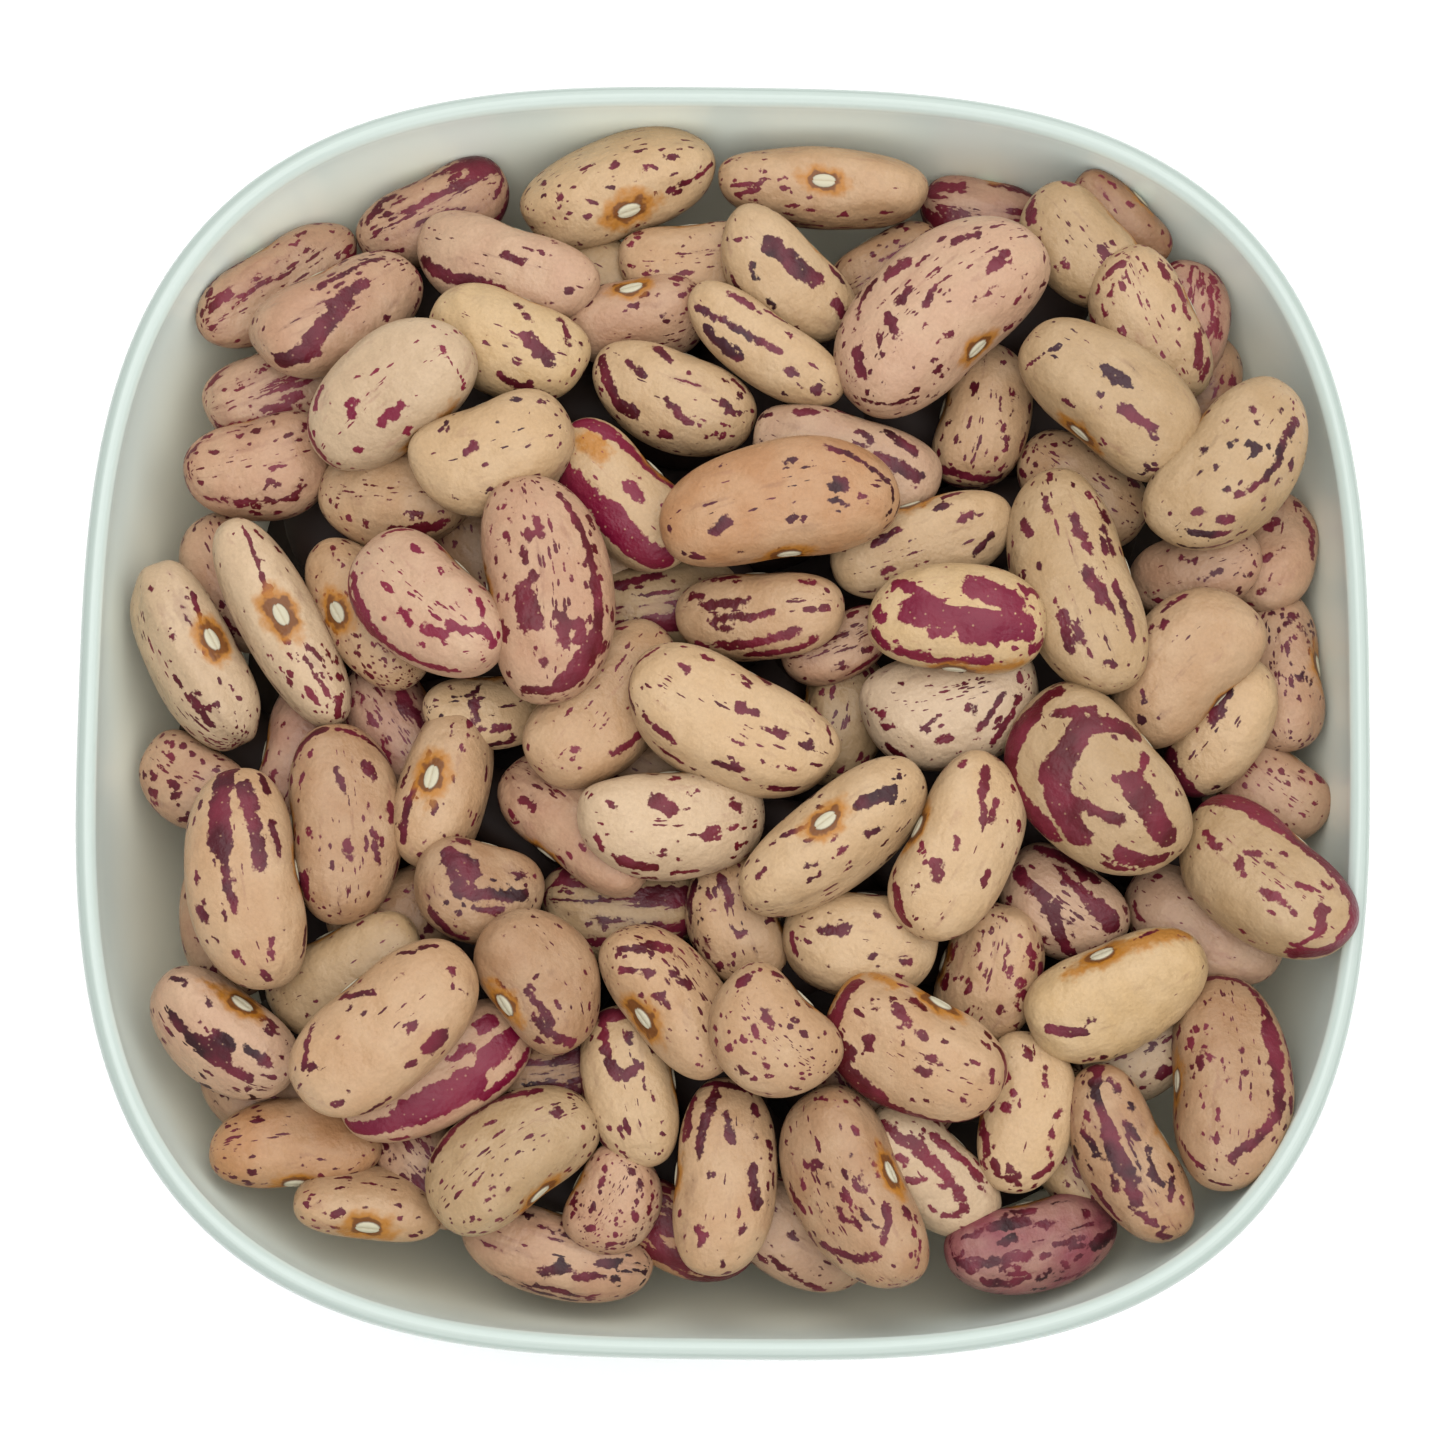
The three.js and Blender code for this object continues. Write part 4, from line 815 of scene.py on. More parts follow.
@dataclass(frozen=True)
class BeanForm:
    """A bean's own shape, with the uneven traits that no two beans share.

    Attributes:
        half: Half length, half width and half thickness.
        bend: How far the ends curve to the hilum side, of the half width.
        taper: How much fuller one end is than the other.
        wave_seed: Seed of the low waves that make it uneven.
        wrinkle: Height of the coat's creases.
        blunt: Power of the form, where 2 is an ellipsoid.
        bend_middle: Squared way along at which the bend changes sides.
        dent: Depth of the dent round the hilum.
        dent_length: Half length of that dent.
        waves: Number of low waves.
        wave_pace: How fast they follow one another.
        wave: Their height, as a share of the half sizes.
        wave_along: How much of it goes along the bean.
        taper_up: How much fuller the thickness gets, as a share of the width's.
        crease_spacing: From one crease to the next.
        crease_slant: How far the creases lean.
        crease_sway: How far they sway.
        patch: How much the creases' depth changes from patch to patch.
        patch_pace: How fast the patches follow one another.
        far_outside: What stands for outside every band, in millimetres.
    """

    half: np.ndarray
    bend: float
    taper: float
    wave_seed: int
    wrinkle: float
    blunt: float = 2.35
    bend_middle: float = 0.35
    dent: float = 0.3
    dent_length: float = 2.4
    waves: int = 4
    wave_pace: float = 2.2
    wave: float = 0.022
    wave_along: float = 0.5
    taper_up: float = 0.7
    crease_spacing: float = 2.1
    crease_slant: float = 0.35
    crease_sway: float = 0.6
    patch: float = 0.4
    patch_pace: float = 1.1
    far_outside: float = -9.0

    @classmethod
    def drawn(cls, bean: Bean, thickness: float, draw: np.random.Generator) -> "BeanForm":
        """Takes a bean's sizes, with its thickness as a share of its width, and draws its uneven traits."""
        half = np.array([bean.length, bean.width, bean.width * thickness]) / 2
        bend, taper = draw.uniform(*BENDS), draw.uniform(*TAPERS)
        return cls(half, bend, taper, int(draw.integers(1 << 30)), bean.wrinkle)

    def surface(self, directions: np.ndarray) -> np.ndarray:
        """Kidney-shaped surface over directions of the unit sphere.

        A direction goes out to |x|^p + |y|^p + |z|^p = 1 and is stretched to the half sizes. One end is
        then made fuller, the ends are curved to the hilum side by the square of the way along, a shallow
        dent is pressed round the hilum, and low sine waves make the form uneven. Creases run across the
        faces, deeper in patches, and die out to the edge by the root of the way up.

        Args:
            directions: Unit vectors, one row each.

        Returns:
            Points in the bean's own frame, in millimetres.
        """
        power = (np.abs(directions) ** self.blunt).sum(1, keepdims=True) ** (1 / self.blunt)
        x, y, z = (directions / power).T
        draw = np.random.default_rng(self.wave_seed)
        lumps = sum(
            np.sin(directions @ (draw.normal(size=3) * self.wave_pace) + draw.uniform(0, 2 * math.pi))
            for _ in range(self.waves)
        )
        swell = 1 + self.wave * lumps
        dent = self.dent * np.exp(-(x * self.half[0] / self.dent_length) ** 2) * np.maximum(0, y) ** 4
        along = x * self.half[0] * (1 + self.wave_along * self.wave * lumps)
        across = y * self.half[1] * (1 + self.taper * x) * swell
        across = across + self.bend * self.half[1] * (x * x - self.bend_middle)
        up = z * self.half[2] * (1 + self.taper_up * self.taper * x) * swell
        way = along + self.crease_slant * across + self.crease_sway * np.sin(across)
        patches = 1 - self.patch + self.patch * np.sin(self.patch_pace * across)
        crease = np.sin(2 * math.pi * way / self.crease_spacing) * patches
        up = up + np.sign(z) * np.sqrt(np.abs(z)) * self.wrinkle * crease
        return np.stack([along, across - dent, up], 1)

    def flow(self, directions: np.ndarray) -> tuple[np.ndarray, np.ndarray]:
        """Places that follow the bean's outline, so that markings can run along it.

        The coat of each broad face is laid flat as an ellipse, keeping its distances from the face's
        middle. On it, w = x + iy becomes arccosh(w / c) = level + i angle, whose lines of even level are
        ellipses inside one another with the same foci.

        Args:
            directions: Unit vectors, one row each.

        Returns:
            The depth from the outline in millimetres, negative on the under face, and the level and angle
            as a complex number.
        """
        x, y, z = directions.T
        reach = np.maximum(1e-6, np.hypot(x, y))
        spread = (math.pi / 2 - np.abs(np.arcsin(np.clip(z, -1, 1)))) / (math.pi / 2)
        wide, narrow = self.flat_half()
        flat_x = x / reach * spread * wide
        flat_y = y / reach * spread * narrow
        focus = math.sqrt(wide ** 2 - narrow ** 2)
        level = np.arccosh((flat_x + 1j * flat_y) / focus + 0j)
        edge = math.atanh(narrow / wide)
        depth = np.sign(z) * np.maximum(0, edge - level.real) * narrow / edge
        return depth, level

    def flat_half(self) -> tuple[float, float]:
        """Half sizes of a broad face laid flat, where each half is a quarter of a girth."""
        a, b, c = self.half
        return QUARTER_GIRTH * (a + c), QUARTER_GIRTH * (b + c)

    def inside(
        self, bands: tuple[tuple[float, ...], ...], depth: np.ndarray, level: np.ndarray
    ) -> np.ndarray:
        """Millimetres inside the nearest band, and negative outside.

        A band runs from one point to another at an even rate in level and angle, so it follows the
        outline, and one that crosses the long axis runs straight. Vertices are unfolded to the flat, so
        levels past the outline belong to the under face.

        Args:
            bands: Bands as shares of the flat half sizes, each with a width in millimetres.
            depth: Signed distance from the outline, positive on the upper face.
            level: Level and angle as a complex number.

        Returns:
            One number for each vertex.
        """
        inside = np.full(len(depth), self.far_outside)
        wide, narrow = self.flat_half()
        focus = math.sqrt(wide ** 2 - narrow ** 2)
        unfolded = np.where(depth >= 0, level.real, 2 * math.atanh(narrow / wide) - level.real)
        flat = focus * np.cosh(unfolded + 1j * level.imag)
        for x0, y0, x1, y1, width in bands:
            first, last = complex(x0 * wide, y0 * narrow), complex(x1 * wide, y1 * narrow)
            if y0 * y1 <= 0 and min(abs(x0), abs(x1)) * wide < focus:
                step = last - first
                share = ((flat - first) * step.conjugate()).real / max(abs(step) ** 2, 1e-9)
                nearest = first + step * np.clip(share, 0, 1)
            else:
                start, end = np.arccosh(np.array([first, last]) / focus)
                turn = (end.imag - start.imag + math.pi) % (2 * math.pi) - math.pi or 1e-6  # never 0
                ahead = (level.imag - start.imag - turn / 2 + math.pi) % (2 * math.pi) - math.pi
                share = np.clip(ahead / turn + 0.5, 0, 1)
                nearest = focus * np.cosh(start + (end.real - start.real + 1j * turn) * share)
            inside = np.maximum(inside, width / 2 - np.abs(flat - nearest))
        return inside


@dataclass(frozen=True)
class StudioFloor:
    """Matt painted board: even and pale, so that the object's own colours are read against it."""

    colour: str = "#FCFCFB"
    grain: str = "#F8F8F7"
    grain_per_m: float = 900.0  # about 1 mm, coarser than brushed paint so that it can show
    roughness: float = 0.9

    def material(self) -> bpy.types.Material:
        """Builds the floor's finish."""
        finish = Finish("matt_painted_board")
        add = finish.add
        place = add("TexCoord").outputs["Object"]
        grain = add("TexNoise", {"Vector": place, "Scale": self.grain_per_m})
        tone = add("Mix", {SHARE: grain, UNDER: self.colour, OVER: self.grain}, data_type="RGBA")
        paint = add("BsdfPrincipled", {"Base Color": tone, "Roughness": self.roughness})
        add("OutputMaterial", {"Surface": paint})
        return finish.material


@dataclass(frozen=True)
class GlazedPorcelain:
    """Fired porcelain under a clear glaze.

    The glaze gives soft clear highlights. It is a denser mint outside and over the lip, where it is also
    painted far darker than the inside, so that the inner wall reads as lit by light through the thin
    porcelain. Inside, a faint mint near the lip gives way lower down to a warm cream, which is partly the
    porcelain's own colour and partly painted warm light bounced from the beans. A slow unevenness of its
    surface keeps the highlights from being too straight.
    """

    # Lower inner wall: the porcelain's own colour, warmed with painted light bounced from the beans.
    body: str = "#F8F3D9"
    upper_mint: str = "#EDFBF3"
    # Lip and outside: the glaze's greener edge, painted far darker than the inner wall so that the inner wall
    # reads as lit through the thin porcelain.
    outside: str = "#97A29A"
    roughness: float = 0.22
    glaze_ior: float = 1.52
    bounce_fade: tuple[float, float] = (-14, 1)  # from the lip's top, where the upper mint starts over the painted warm bounce and where it is full
    bounce_sway: float = 4
    lip: tuple[float, float] = (-1.2, 0.2)  # the same for the lip's denser glaze, partly painted darker than the inside
    drift_per_m: float = 25.0  # the glaze's runs, 40 mm
    fine_per_m: float = 160.0  # its orange peel, 6 mm

    def material(self, lip_height: float) -> bpy.types.Material:
        """Builds the glaze.

        Args:
            lip_height: Height of the lip's top in millimetres, which the upper mint and the lip's glaze are
                placed from.

        Returns:
            The finish.
        """
        finish = Finish("glazed_porcelain")
        add = finish.add
        place = add("TexCoord").outputs["Object"]
        height = add("SeparateXYZ", {0: place}).outputs["Z"]
        drift = add("TexNoise", {"Vector": place, "Scale": self.drift_per_m, "Detail": 2.0})
        swayed = add("Math", {0: drift, 1: self.bounce_sway * MM, 2: height}, operation="MULTIPLY_ADD")
        # Share of the upper mint over the warm lower wall, whose warmth is partly painted bounce from the
        # beans, and share of the lip's glaze.
        upper_mint, edge = (
            add(
                "MapRange",
                {"Value": level, "From Min": (lip_height + start) * MM, "From Max": (lip_height + full) * MM},
                interpolation_type="SMOOTHSTEP",
            )
            for level, (start, full) in ((swayed, self.bounce_fade), (height, self.lip))
        )
        side = add("Attribute", attribute_name="outside").outputs["Fac"]
        cover = add("Math", {0: edge, 1: side}, operation="MAXIMUM")
        # Painted warm bounce low in the bowl, mint near the lip.
        tint = add("Mix", {SHARE: upper_mint, UNDER: self.body, OVER: self.upper_mint}, data_type="RGBA")
        # Lip and outside painted far darker than the inside, partly the glaze's own greener edge.
        rimmed = add("Mix", {SHARE: cover, UNDER: tint, OVER: self.outside}, data_type="RGBA")
        fine = add("TexNoise", {"Vector": place, "Scale": self.fine_per_m, "Detail": 2.0})
        gloss = add(
            "MapRange", {"Value": fine, "To Min": self.roughness - 0.04, "To Max": self.roughness + 0.06}
        )
        ripple = add("Bump", {"Height": drift, "Strength": 0.08, "Distance": 1 * MM})
        glaze = add(
            "BsdfPrincipled",
            {
                "Base Color": rimmed, "Roughness": gloss, "IOR": self.glaze_ior,
                "Coat Weight": 0.35, "Coat Roughness": 0.08, "Normal": ripple,
            },
        )
        add("OutputMaterial", {"Surface": glaze})
        return finish.material


@dataclass(frozen=True)
class FleckSize:
    """Flecks of one size.

    Attributes:
        cells: Cells in each streak length, streak length and streak width.
        gain: Share of the cells that have a fleck, for each share of flecks that a bean asks for.
        base: Share that every bean has.
        soft: Half width of a fleck's soft edge, in cells.
    """

    cells: tuple[float, float, float]
    gain: float
    base: float
    soft: float


@dataclass(frozen=True)
class SeedCoat:
    """Dried seed coat of the beans: a thin satin skin, tan to pink, flecked and streaked with plum.

    Every bean brings its own ground, ink and places as attributes, so one finish serves them all. The
    streaks follow the outline, crisp at the edge and a little ragged, and the coat round the hilum is
    stained orange to brown. Scales are counted per millimetre of coat, because the places are in
    millimetres. The finest are drawn coarser than the real skin's, so that they show.
    """

    roughness: float = 0.38
    halo: str = "#986118"
    scorch: str = "#532A13"
    pale: str = "#B39C7E"
    thin_ink: str = "#702232"
    ragged_per_mm: float = 1.5  # torn edges, 0.7 mm
    tear: tuple[float, float, float] = (0.22, 0.22, 0.6)
    fine_per_mm: float = 2.6  # the skin's pits, 0.4 mm
    slow_per_mm: float = 0.5  # its soft dents, 2 mm
    relief: float = 0.45
    cloud_per_mm: float = 0.28  # pale clouds, 3.5 mm
    grain_per_mm: float = 3.5  # the ground's grain, 0.3 mm
    depth_per_mm: float = 0.3  # thick and thin ink, 3 mm
    bare_per_mm: float = 1.5  # bare pits in the ink, 0.7 mm apart
    patch_per_mm: float = 0.9  # the halo's patches, 1.1 mm
    streak_gain: float = 0.34
    streak_edge: float = 0.74
    streak_soft: float = 0.012
    blush_from: float = 0.6
    large: FleckSize = FleckSize((2.2, 2.2, 1.15), 1.1, 0.0, 0.03)
    small: FleckSize = FleckSize((3.6, 3.6, 1.8), 0.8, 0.07, 0.05)
    fleck_half: float = 0.38
    fleck_growth: float = 3.0
    fleck_tear: float = 0.9
    fleck_edge: float = 0.45
    band_tear: float = 1.1
    band_edge: float = 0.5
    band_soft: float = 0.05
    stain_tear: float = 2.0
    stain_edge: tuple[float, float] = (0.6, 1.7)
    halo_tear: float = 1.5
    halo_edge: tuple[float, float] = (2.45, 1.7)
    scorch_edge: tuple[float, float] = (1.75, 1.5)

    def material(self) -> bpy.types.Material:
        """Builds the seed coat."""
        finish = Finish("dried_seed_coat")
        add = finish.add
        names = ("coat", "ink", "flow", "spot", "marks", "eye")
        read = {name: add("Attribute", attribute_name=name).outputs for name in names}
        spot = read["spot"]["Vector"]
        marks = add("SeparateColor", {0: read["marks"]["Color"]}).outputs
        ragged = add("TexNoise", {"Vector": spot, "Scale": self.ragged_per_mm, "Detail": 3.0})
        flow = self._torn(add, read["flow"]["Vector"], ragged)
        mask, blush = self._marks(add, flow, marks, ragged)
        ground = self._ground(add, read["coat"]["Color"], spot, read["marks"]["Alpha"], ragged)
        inked = self._ink(add, read["ink"]["Color"], spot, ground, mask, blush)
        stained = self._hilum_stain(add, read["eye"]["Vector"], spot, inked)
        fine = add("TexNoise", {"Vector": spot, "Scale": self.fine_per_mm, "Detail": 2.0})
        slow = add("TexNoise", {"Vector": spot, "Scale": self.slow_per_mm, "Detail": 1.0})
        gloss = add(
            "MapRange",
            {
                "Value": slow, "From Min": 0.3, "From Max": 0.7,
                "To Min": self.roughness - 0.05, "To Max": self.roughness + 0.09,
            },
        )
        relief = add("Math", {0: fine, 1: 0.25, 2: slow}, operation="MULTIPLY_ADD")
        bump = add("Bump", {"Height": relief, "Strength": 0.8, "Distance": self.relief * MM})
        skin = add(
            "BsdfPrincipled",
            {
                "Base Color": stained, "Roughness": gloss, "IOR": 1.46, "Specular IOR Level": 0.3,
                "Normal": bump,
            },
        )
        add("OutputMaterial", {"Surface": skin})
        return finish.material

    def _torn(self, add: Add, flow: Socket, ragged: Node) -> Node:
        """Shifts the flow a little by a noise, so that marks get ragged edges."""
        noise = ragged.outputs["Color"]
        centred = add("VectorMath", {0: noise, 1: (0.5, 0.5, 0.5)}, operation="SUBTRACT")
        return add("VectorMath", {0: centred, 1: self.tear, 2: flow}, operation="MULTIPLY_ADD")

    def _flecks(self, add: Add, flow: Node, amount: Socket, ragged: Node, size: FleckSize) -> Node:
        """Separate ragged flecks, at most one in each cell of a jittered pattern.

        Args:
            add: Adds a node to the coat.
            flow: Places along the outline, in streak lengths.
            amount: The share of flecks that the bean asks for.
            ragged: Noise that roughens the flecks' edges.
            size: The flecks' size.

        Returns:
            Cells inside a fleck, and negative outside.
        """
        share = add("Math", {0: amount, 1: size.gain, 2: size.base}, operation="MULTIPLY_ADD")
        cells = add("VectorMath", {0: flow, 1: size.cells}, operation="MULTIPLY")
        cell = add("TexVoronoi", {"Vector": cells, "Scale": 1.0}, distance="EUCLIDEAN")
        luck = add("SeparateColor", {0: cell.outputs["Color"]}).outputs
        margin = add("Math", {0: share, 1: luck[0]}, operation="SUBTRACT")
        grown = add("Math", {0: margin, 1: self.fleck_growth}, operation="MULTIPLY")
        largest = add(
            "Math", {0: luck[1], 1: self.fleck_half * 0.6, 2: self.fleck_half * 0.4}, operation="MULTIPLY_ADD"
        )
        half = add("Math", {0: grown, 1: largest}, operation="MINIMUM")
        inside = add("Math", {0: half, 1: cell.outputs["Distance"]}, operation="SUBTRACT")
        return add("Math", {0: ragged, 1: self.fleck_tear, 2: inside}, operation="MULTIPLY_ADD")

    def _marks(
        self, add: Add, flow: Node, marks: bpy.types.bpy_prop_collection, ragged: Node
    ) -> tuple[Node, Node]:
        """Mask of the markings: long streaks, flecks of two sizes, and the named bands.

        Args:
            add: Adds a node to the coat.
            flow: Places along the outline, in streak lengths.
            marks: Amount of streaks, amount of flecks, and millimetres inside a band.
            ragged: Noise that roughens the bands' edges.

        Returns:
            1 where the coat is inked, and a soft mask round the streaks.
        """
        streaks, flecks, bands = marks[0], marks[1], marks[2]
        noise = add("TexNoise", {"Vector": flow, "Scale": 1.0, "Detail": 2.5, "Roughness": 0.6})
        streak = add("Math", {0: streaks, 1: self.streak_gain, 2: noise}, operation="MULTIPLY_ADD")
        large, small = (self._flecks(add, flow, flecks, ragged, size) for size in (self.large, self.small))
        band = add("Math", {0: ragged, 1: self.band_tear, 2: bands}, operation="MULTIPLY_ADD")
        mask = None
        for value, edge, soft in (
            (streak, self.streak_edge, self.streak_soft), (large, self.fleck_edge, self.large.soft),
            (small, self.fleck_edge, self.small.soft), (band, self.band_edge, self.band_soft),
        ):
            crisp = add("MapRange", {"Value": value, "From Min": edge - soft, "From Max": edge + soft})
            mask = add("Math", {0: mask, 1: crisp}, operation="MAXIMUM") if mask else crisp
        blush = add(
            "MapRange",
            {"Value": streak, "From Min": self.blush_from, "From Max": self.streak_edge, "To Max": 0.22},
            interpolation_type="SMOOTHSTEP",
        )
        return mask, blush

    def _ground(self, add: Add, coat: Socket, spot: Socket, stained: Socket, ragged: Node) -> Node:
        """Ground colour with slow pale and dark clouds, a fine grain and the named stains.

        Args:
            add: Adds a node to the coat.
            coat: The bean's ground colour.
            spot: Places on the bean in millimetres.
            stained: Millimetres inside a stain.
            ragged: Noise that roughens the stains' edges.

        Returns:
            The bare coat.
        """
        cloud = add("TexNoise", {"Vector": spot, "Scale": self.cloud_per_mm, "Detail": 2.0})
        grain = add("TexNoise", {"Vector": spot, "Scale": self.grain_per_mm, "Detail": 2.0})
        share = add("MapRange", {"Value": cloud, "From Min": 0.35, "From Max": 0.7, "To Max": 0.3})
        lighter = add("Mix", {SHARE: share, UNDER: coat, OVER: self.pale}, data_type="RGBA")
        torn = add("Math", {0: ragged, 1: self.stain_tear, 2: stained}, operation="MULTIPLY_ADD")
        outer, inner = self.stain_edge
        stain = add(
            "MapRange", {"Value": torn, "From Min": outer, "From Max": inner, "To Max": 0.85},
            interpolation_type="SMOOTHSTEP",
        )
        orange = add("Mix", {SHARE: stain, UNDER: lighter, OVER: self.halo}, data_type="RGBA")
        tone = add(
            "MapRange", {"Value": grain, "From Min": 0.3, "From Max": 0.7, "To Min": 0.94, "To Max": 1.04}
        )
        return add("VectorMath", {0: orange, "Scale": tone}, operation="SCALE")

    def _ink(self, add: Add, ink: Socket, spot: Socket, ground: Node, mask: Node, blush: Node) -> Node:
        """Lays the ink over the ground, thinner and pinker in places, with tiny bare pits.

        Args:
            add: Adds a node to the coat.
            ink: The bean's ink colour.
            spot: Places on the bean in millimetres.
            ground: The bare coat.
            mask: 1 where the coat is inked.
            blush: Share of a thin wash of ink.

        Returns:
            The marked coat.
        """
        depth = add("TexNoise", {"Vector": spot, "Scale": self.depth_per_mm, "Detail": 2.0})
        pinker = add("MapRange", {"Value": depth, "From Min": 0.62, "From Max": 0.36, "To Max": 0.6})
        varied = add("Mix", {SHARE: pinker, UNDER: ink, OVER: self.thin_ink}, data_type="RGBA")
        pits = add("TexVoronoi", {"Vector": spot, "Scale": self.bare_per_mm})
        bare = add("MapRange", {"Value": pits, "From Min": 0.08, "From Max": 0.17, "To Min": 0.5})
        solid = add("Math", {0: mask, 1: bare}, operation="MULTIPLY")
        share = add("Math", {0: solid, 1: blush}, operation="MAXIMUM")
        return add("Mix", {SHARE: share, UNDER: ground, OVER: varied}, data_type="RGBA")

    def _hilum_stain(self, add: Add, eye: Socket, spot: Socket, under: Node) -> Node:
        """Long orange halo round the hilum, brown next to it, patchy and fading outwards.

        Args:
            add: Adds a node to the coat.
            eye: Place from the hilum's middle, in halo half-sizes.
            spot: Places on the bean in millimetres.
            under: The marked coat.

        Returns:
            The finished colour.
        """
        patchy = add("TexNoise", {"Vector": spot, "Scale": self.patch_per_mm, "Detail": 2.0})
        far = add("VectorMath", {0: eye}, operation="LENGTH")
        reach = add("Math", {0: patchy, 1: self.halo_tear, 2: far}, operation="MULTIPLY_ADD")
        colour = under
        for tint, ends, most in ((self.halo, self.halo_edge, 0.9), (self.scorch, self.scorch_edge, 0.8)):
            share = add(
                "MapRange", {"Value": reach, "From Min": ends[0], "From Max": ends[1], "To Max": most},
                interpolation_type="SMOOTHSTEP",
            )
            colour = add("Mix", {SHARE: share, UNDER: colour, OVER: tint}, data_type="RGBA")
        return colour


@dataclass(frozen=True)
class HilumSkin:
    """Corky scar where the seed was held: chalky off-white, matt, with a fine lengthwise groove."""

    colour: str = "#ACA58D"
    groove: str = "#9A8C71"
    edge: str = "#4D2A12"
    roughness: float = 0.75
    groove_sides: tuple[float, float] = (0.16, 0.02)  # shares of the half width
    edge_ends: tuple[float, float] = (0.78, 0.9)  # shares of the way out

    def material(self) -> bpy.types.Material:
        """Builds the scar's finish, in shares of the scar's half sizes."""
        finish = Finish("corky_hilum")
        add = finish.add
        across = add("Attribute", attribute_name="across").outputs["Vector"]
        side = add("SeparateXYZ", {0: across}).outputs
        groove, rim = (
            add("MapRange", {"Value": side[axis], "From Min": start, "From Max": full, "To Max": most})
            for axis, (start, full), most in (("Y", self.groove_sides, 0.6), ("X", self.edge_ends, 0.9))
        )
        lined = add("Mix", {SHARE: groove, UNDER: self.colour, OVER: self.groove}, data_type="RGBA")
        edged = add("Mix", {SHARE: rim, UNDER: lined, OVER: self.edge}, data_type="RGBA")
        cork = add("BsdfPrincipled", {"Base Color": edged, "Roughness": self.roughness})
        add("OutputMaterial", {"Surface": cork})
        return finish.material


@dataclass(frozen=True)
class PackedShade:
    """Painted shade: seed coats deep in the heap, where hardly any light comes, coloured dusky brown with
    darker blots to stand for that shade instead of their own tan.
    """

    # Both colours are painted shade.
    light: str = "#342016"
    dark: str = "#1C0E08"
    blots_per_m: float = 260.0  # 4 mm
    roughness: float = 0.7

    def material(self) -> bpy.types.Material:
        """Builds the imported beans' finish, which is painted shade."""
        finish = Finish("painted_shade_seed_coat")
        add = finish.add
        place = add("TexCoord").outputs["Object"]
        blots = add("TexNoise", {"Vector": place, "Scale": self.blots_per_m, "Detail": 3.0})
        tone = add("Mix", {SHARE: blots, UNDER: self.light, OVER: self.dark}, data_type="RGBA")
        skin = add("BsdfPrincipled", {"Base Color": tone, "Roughness": self.roughness})
        add("OutputMaterial", {"Surface": skin})
        return finish.material


@dataclass
class Bowl:
    """The porcelain bowl: a foot ring, a rounded wall and a thin rounded lip on a rounded-square plan.

    Attributes:
        hollow: Its plan and inner wall.
        shell_depth: Depth where the outer wall's section would reach the axis.
        foot_radius: Outer plan radius of the foot ring.
        foot_ring: Thickness of the foot ring where it stands.
        foot_taper: How far each side of the ring leans out, from the ground up.
        recess: Height of the underside inside the ring.
        foot_round: Radius of the foot's corners.
        corner_rows: Steps of each of those corners.
        skip: Rows of the outer wall that the foot's last corner takes the place of.
        wall_rows: Steps of each wall.
        lip_rows: Steps over the lip.
        columns: Steps round the bowl.
    """

    hollow: Hollow
    shell_depth: float = 38.8
    foot_radius: float = 26
    foot_ring: float = 3.4
    foot_taper: float = 0.7
    recess: float = 3
    foot_round: float = 0.5
    corner_rows: int = 6
    skip: int = 4
    wall_rows: int = 40
    lip_rows: int = 14
    columns: int = 288

    def build(self) -> bpy.types.Object:
        """Turns the profile on its plan, and marks what the outer glaze covers.

        Returns:
            The bowl.
        """
        profile = self._profile()
        points, faces = self.hollow.lathe(profile, self.columns)
        rings = len(profile) - 2
        turned_in = rings + 1 - self.wall_rows - self.lip_rows // 2
        row = np.append(np.repeat(np.arange(rings), self.columns), [0, rings])
        outside = np.repeat((row < turned_in)[:, None].astype(float), 3, 1)
        glaze = GlazedPorcelain().material(self.hollow.rim_height)
        return make_piece("porcelain_bowl", points, faces, glaze, {"outside": outside})

    def _profile(self) -> np.ndarray:
        """Section from under the middle, over the foot ring, the outer wall and the lip, to the floor.

        Corners of the foot are rounded by points that a quadratic curve takes from one side to the other.

        Returns:
            Rows of plan radius and height.
        """
        hollow = self.hollow
        inside = self.foot_radius - self.foot_ring
        outer_radius = hollow.rim_width / 2
        top_of_foot = self.foot_radius + self.foot_taper
        outer = hollow.section(outer_radius, self.shell_depth, top_of_foot, self.wall_rows)[::-1]
        corners = np.array(
            [
                [0, self.recess], [inside - self.foot_taper, self.recess], [inside, 0],
                [self.foot_radius, 0], outer[0], outer[self.skip],
            ]
        )
        foot = [corners[:1]]
        share = np.linspace(0, 1, self.corner_rows + 1)[:, None]
        for before, corner, after in zip(corners[:-2], corners[1:-1], corners[2:]):
            start, end = (
                corner + (p - corner) * min(0.4, self.foot_round / np.linalg.norm(p - corner))
                for p in (before, after)
            )
            foot.append((1 - share) ** 2 * start + 2 * share * (1 - share) * corner + share ** 2 * end)
        radius = hollow.lip_thickness / 2
        turn = np.linspace(0, math.pi, self.lip_rows + 1)[1:-1]
        lip_out = outer_radius - radius + radius * np.cos(turn)
        lip_up = hollow.rim_height - radius + radius * np.sin(turn)
        inner = hollow.section(outer_radius - hollow.lip_thickness, hollow.depth, 0, self.wall_rows)
        return np.concatenate([*foot, outer[self.skip:], np.stack([lip_out, lip_up], 1), inner])


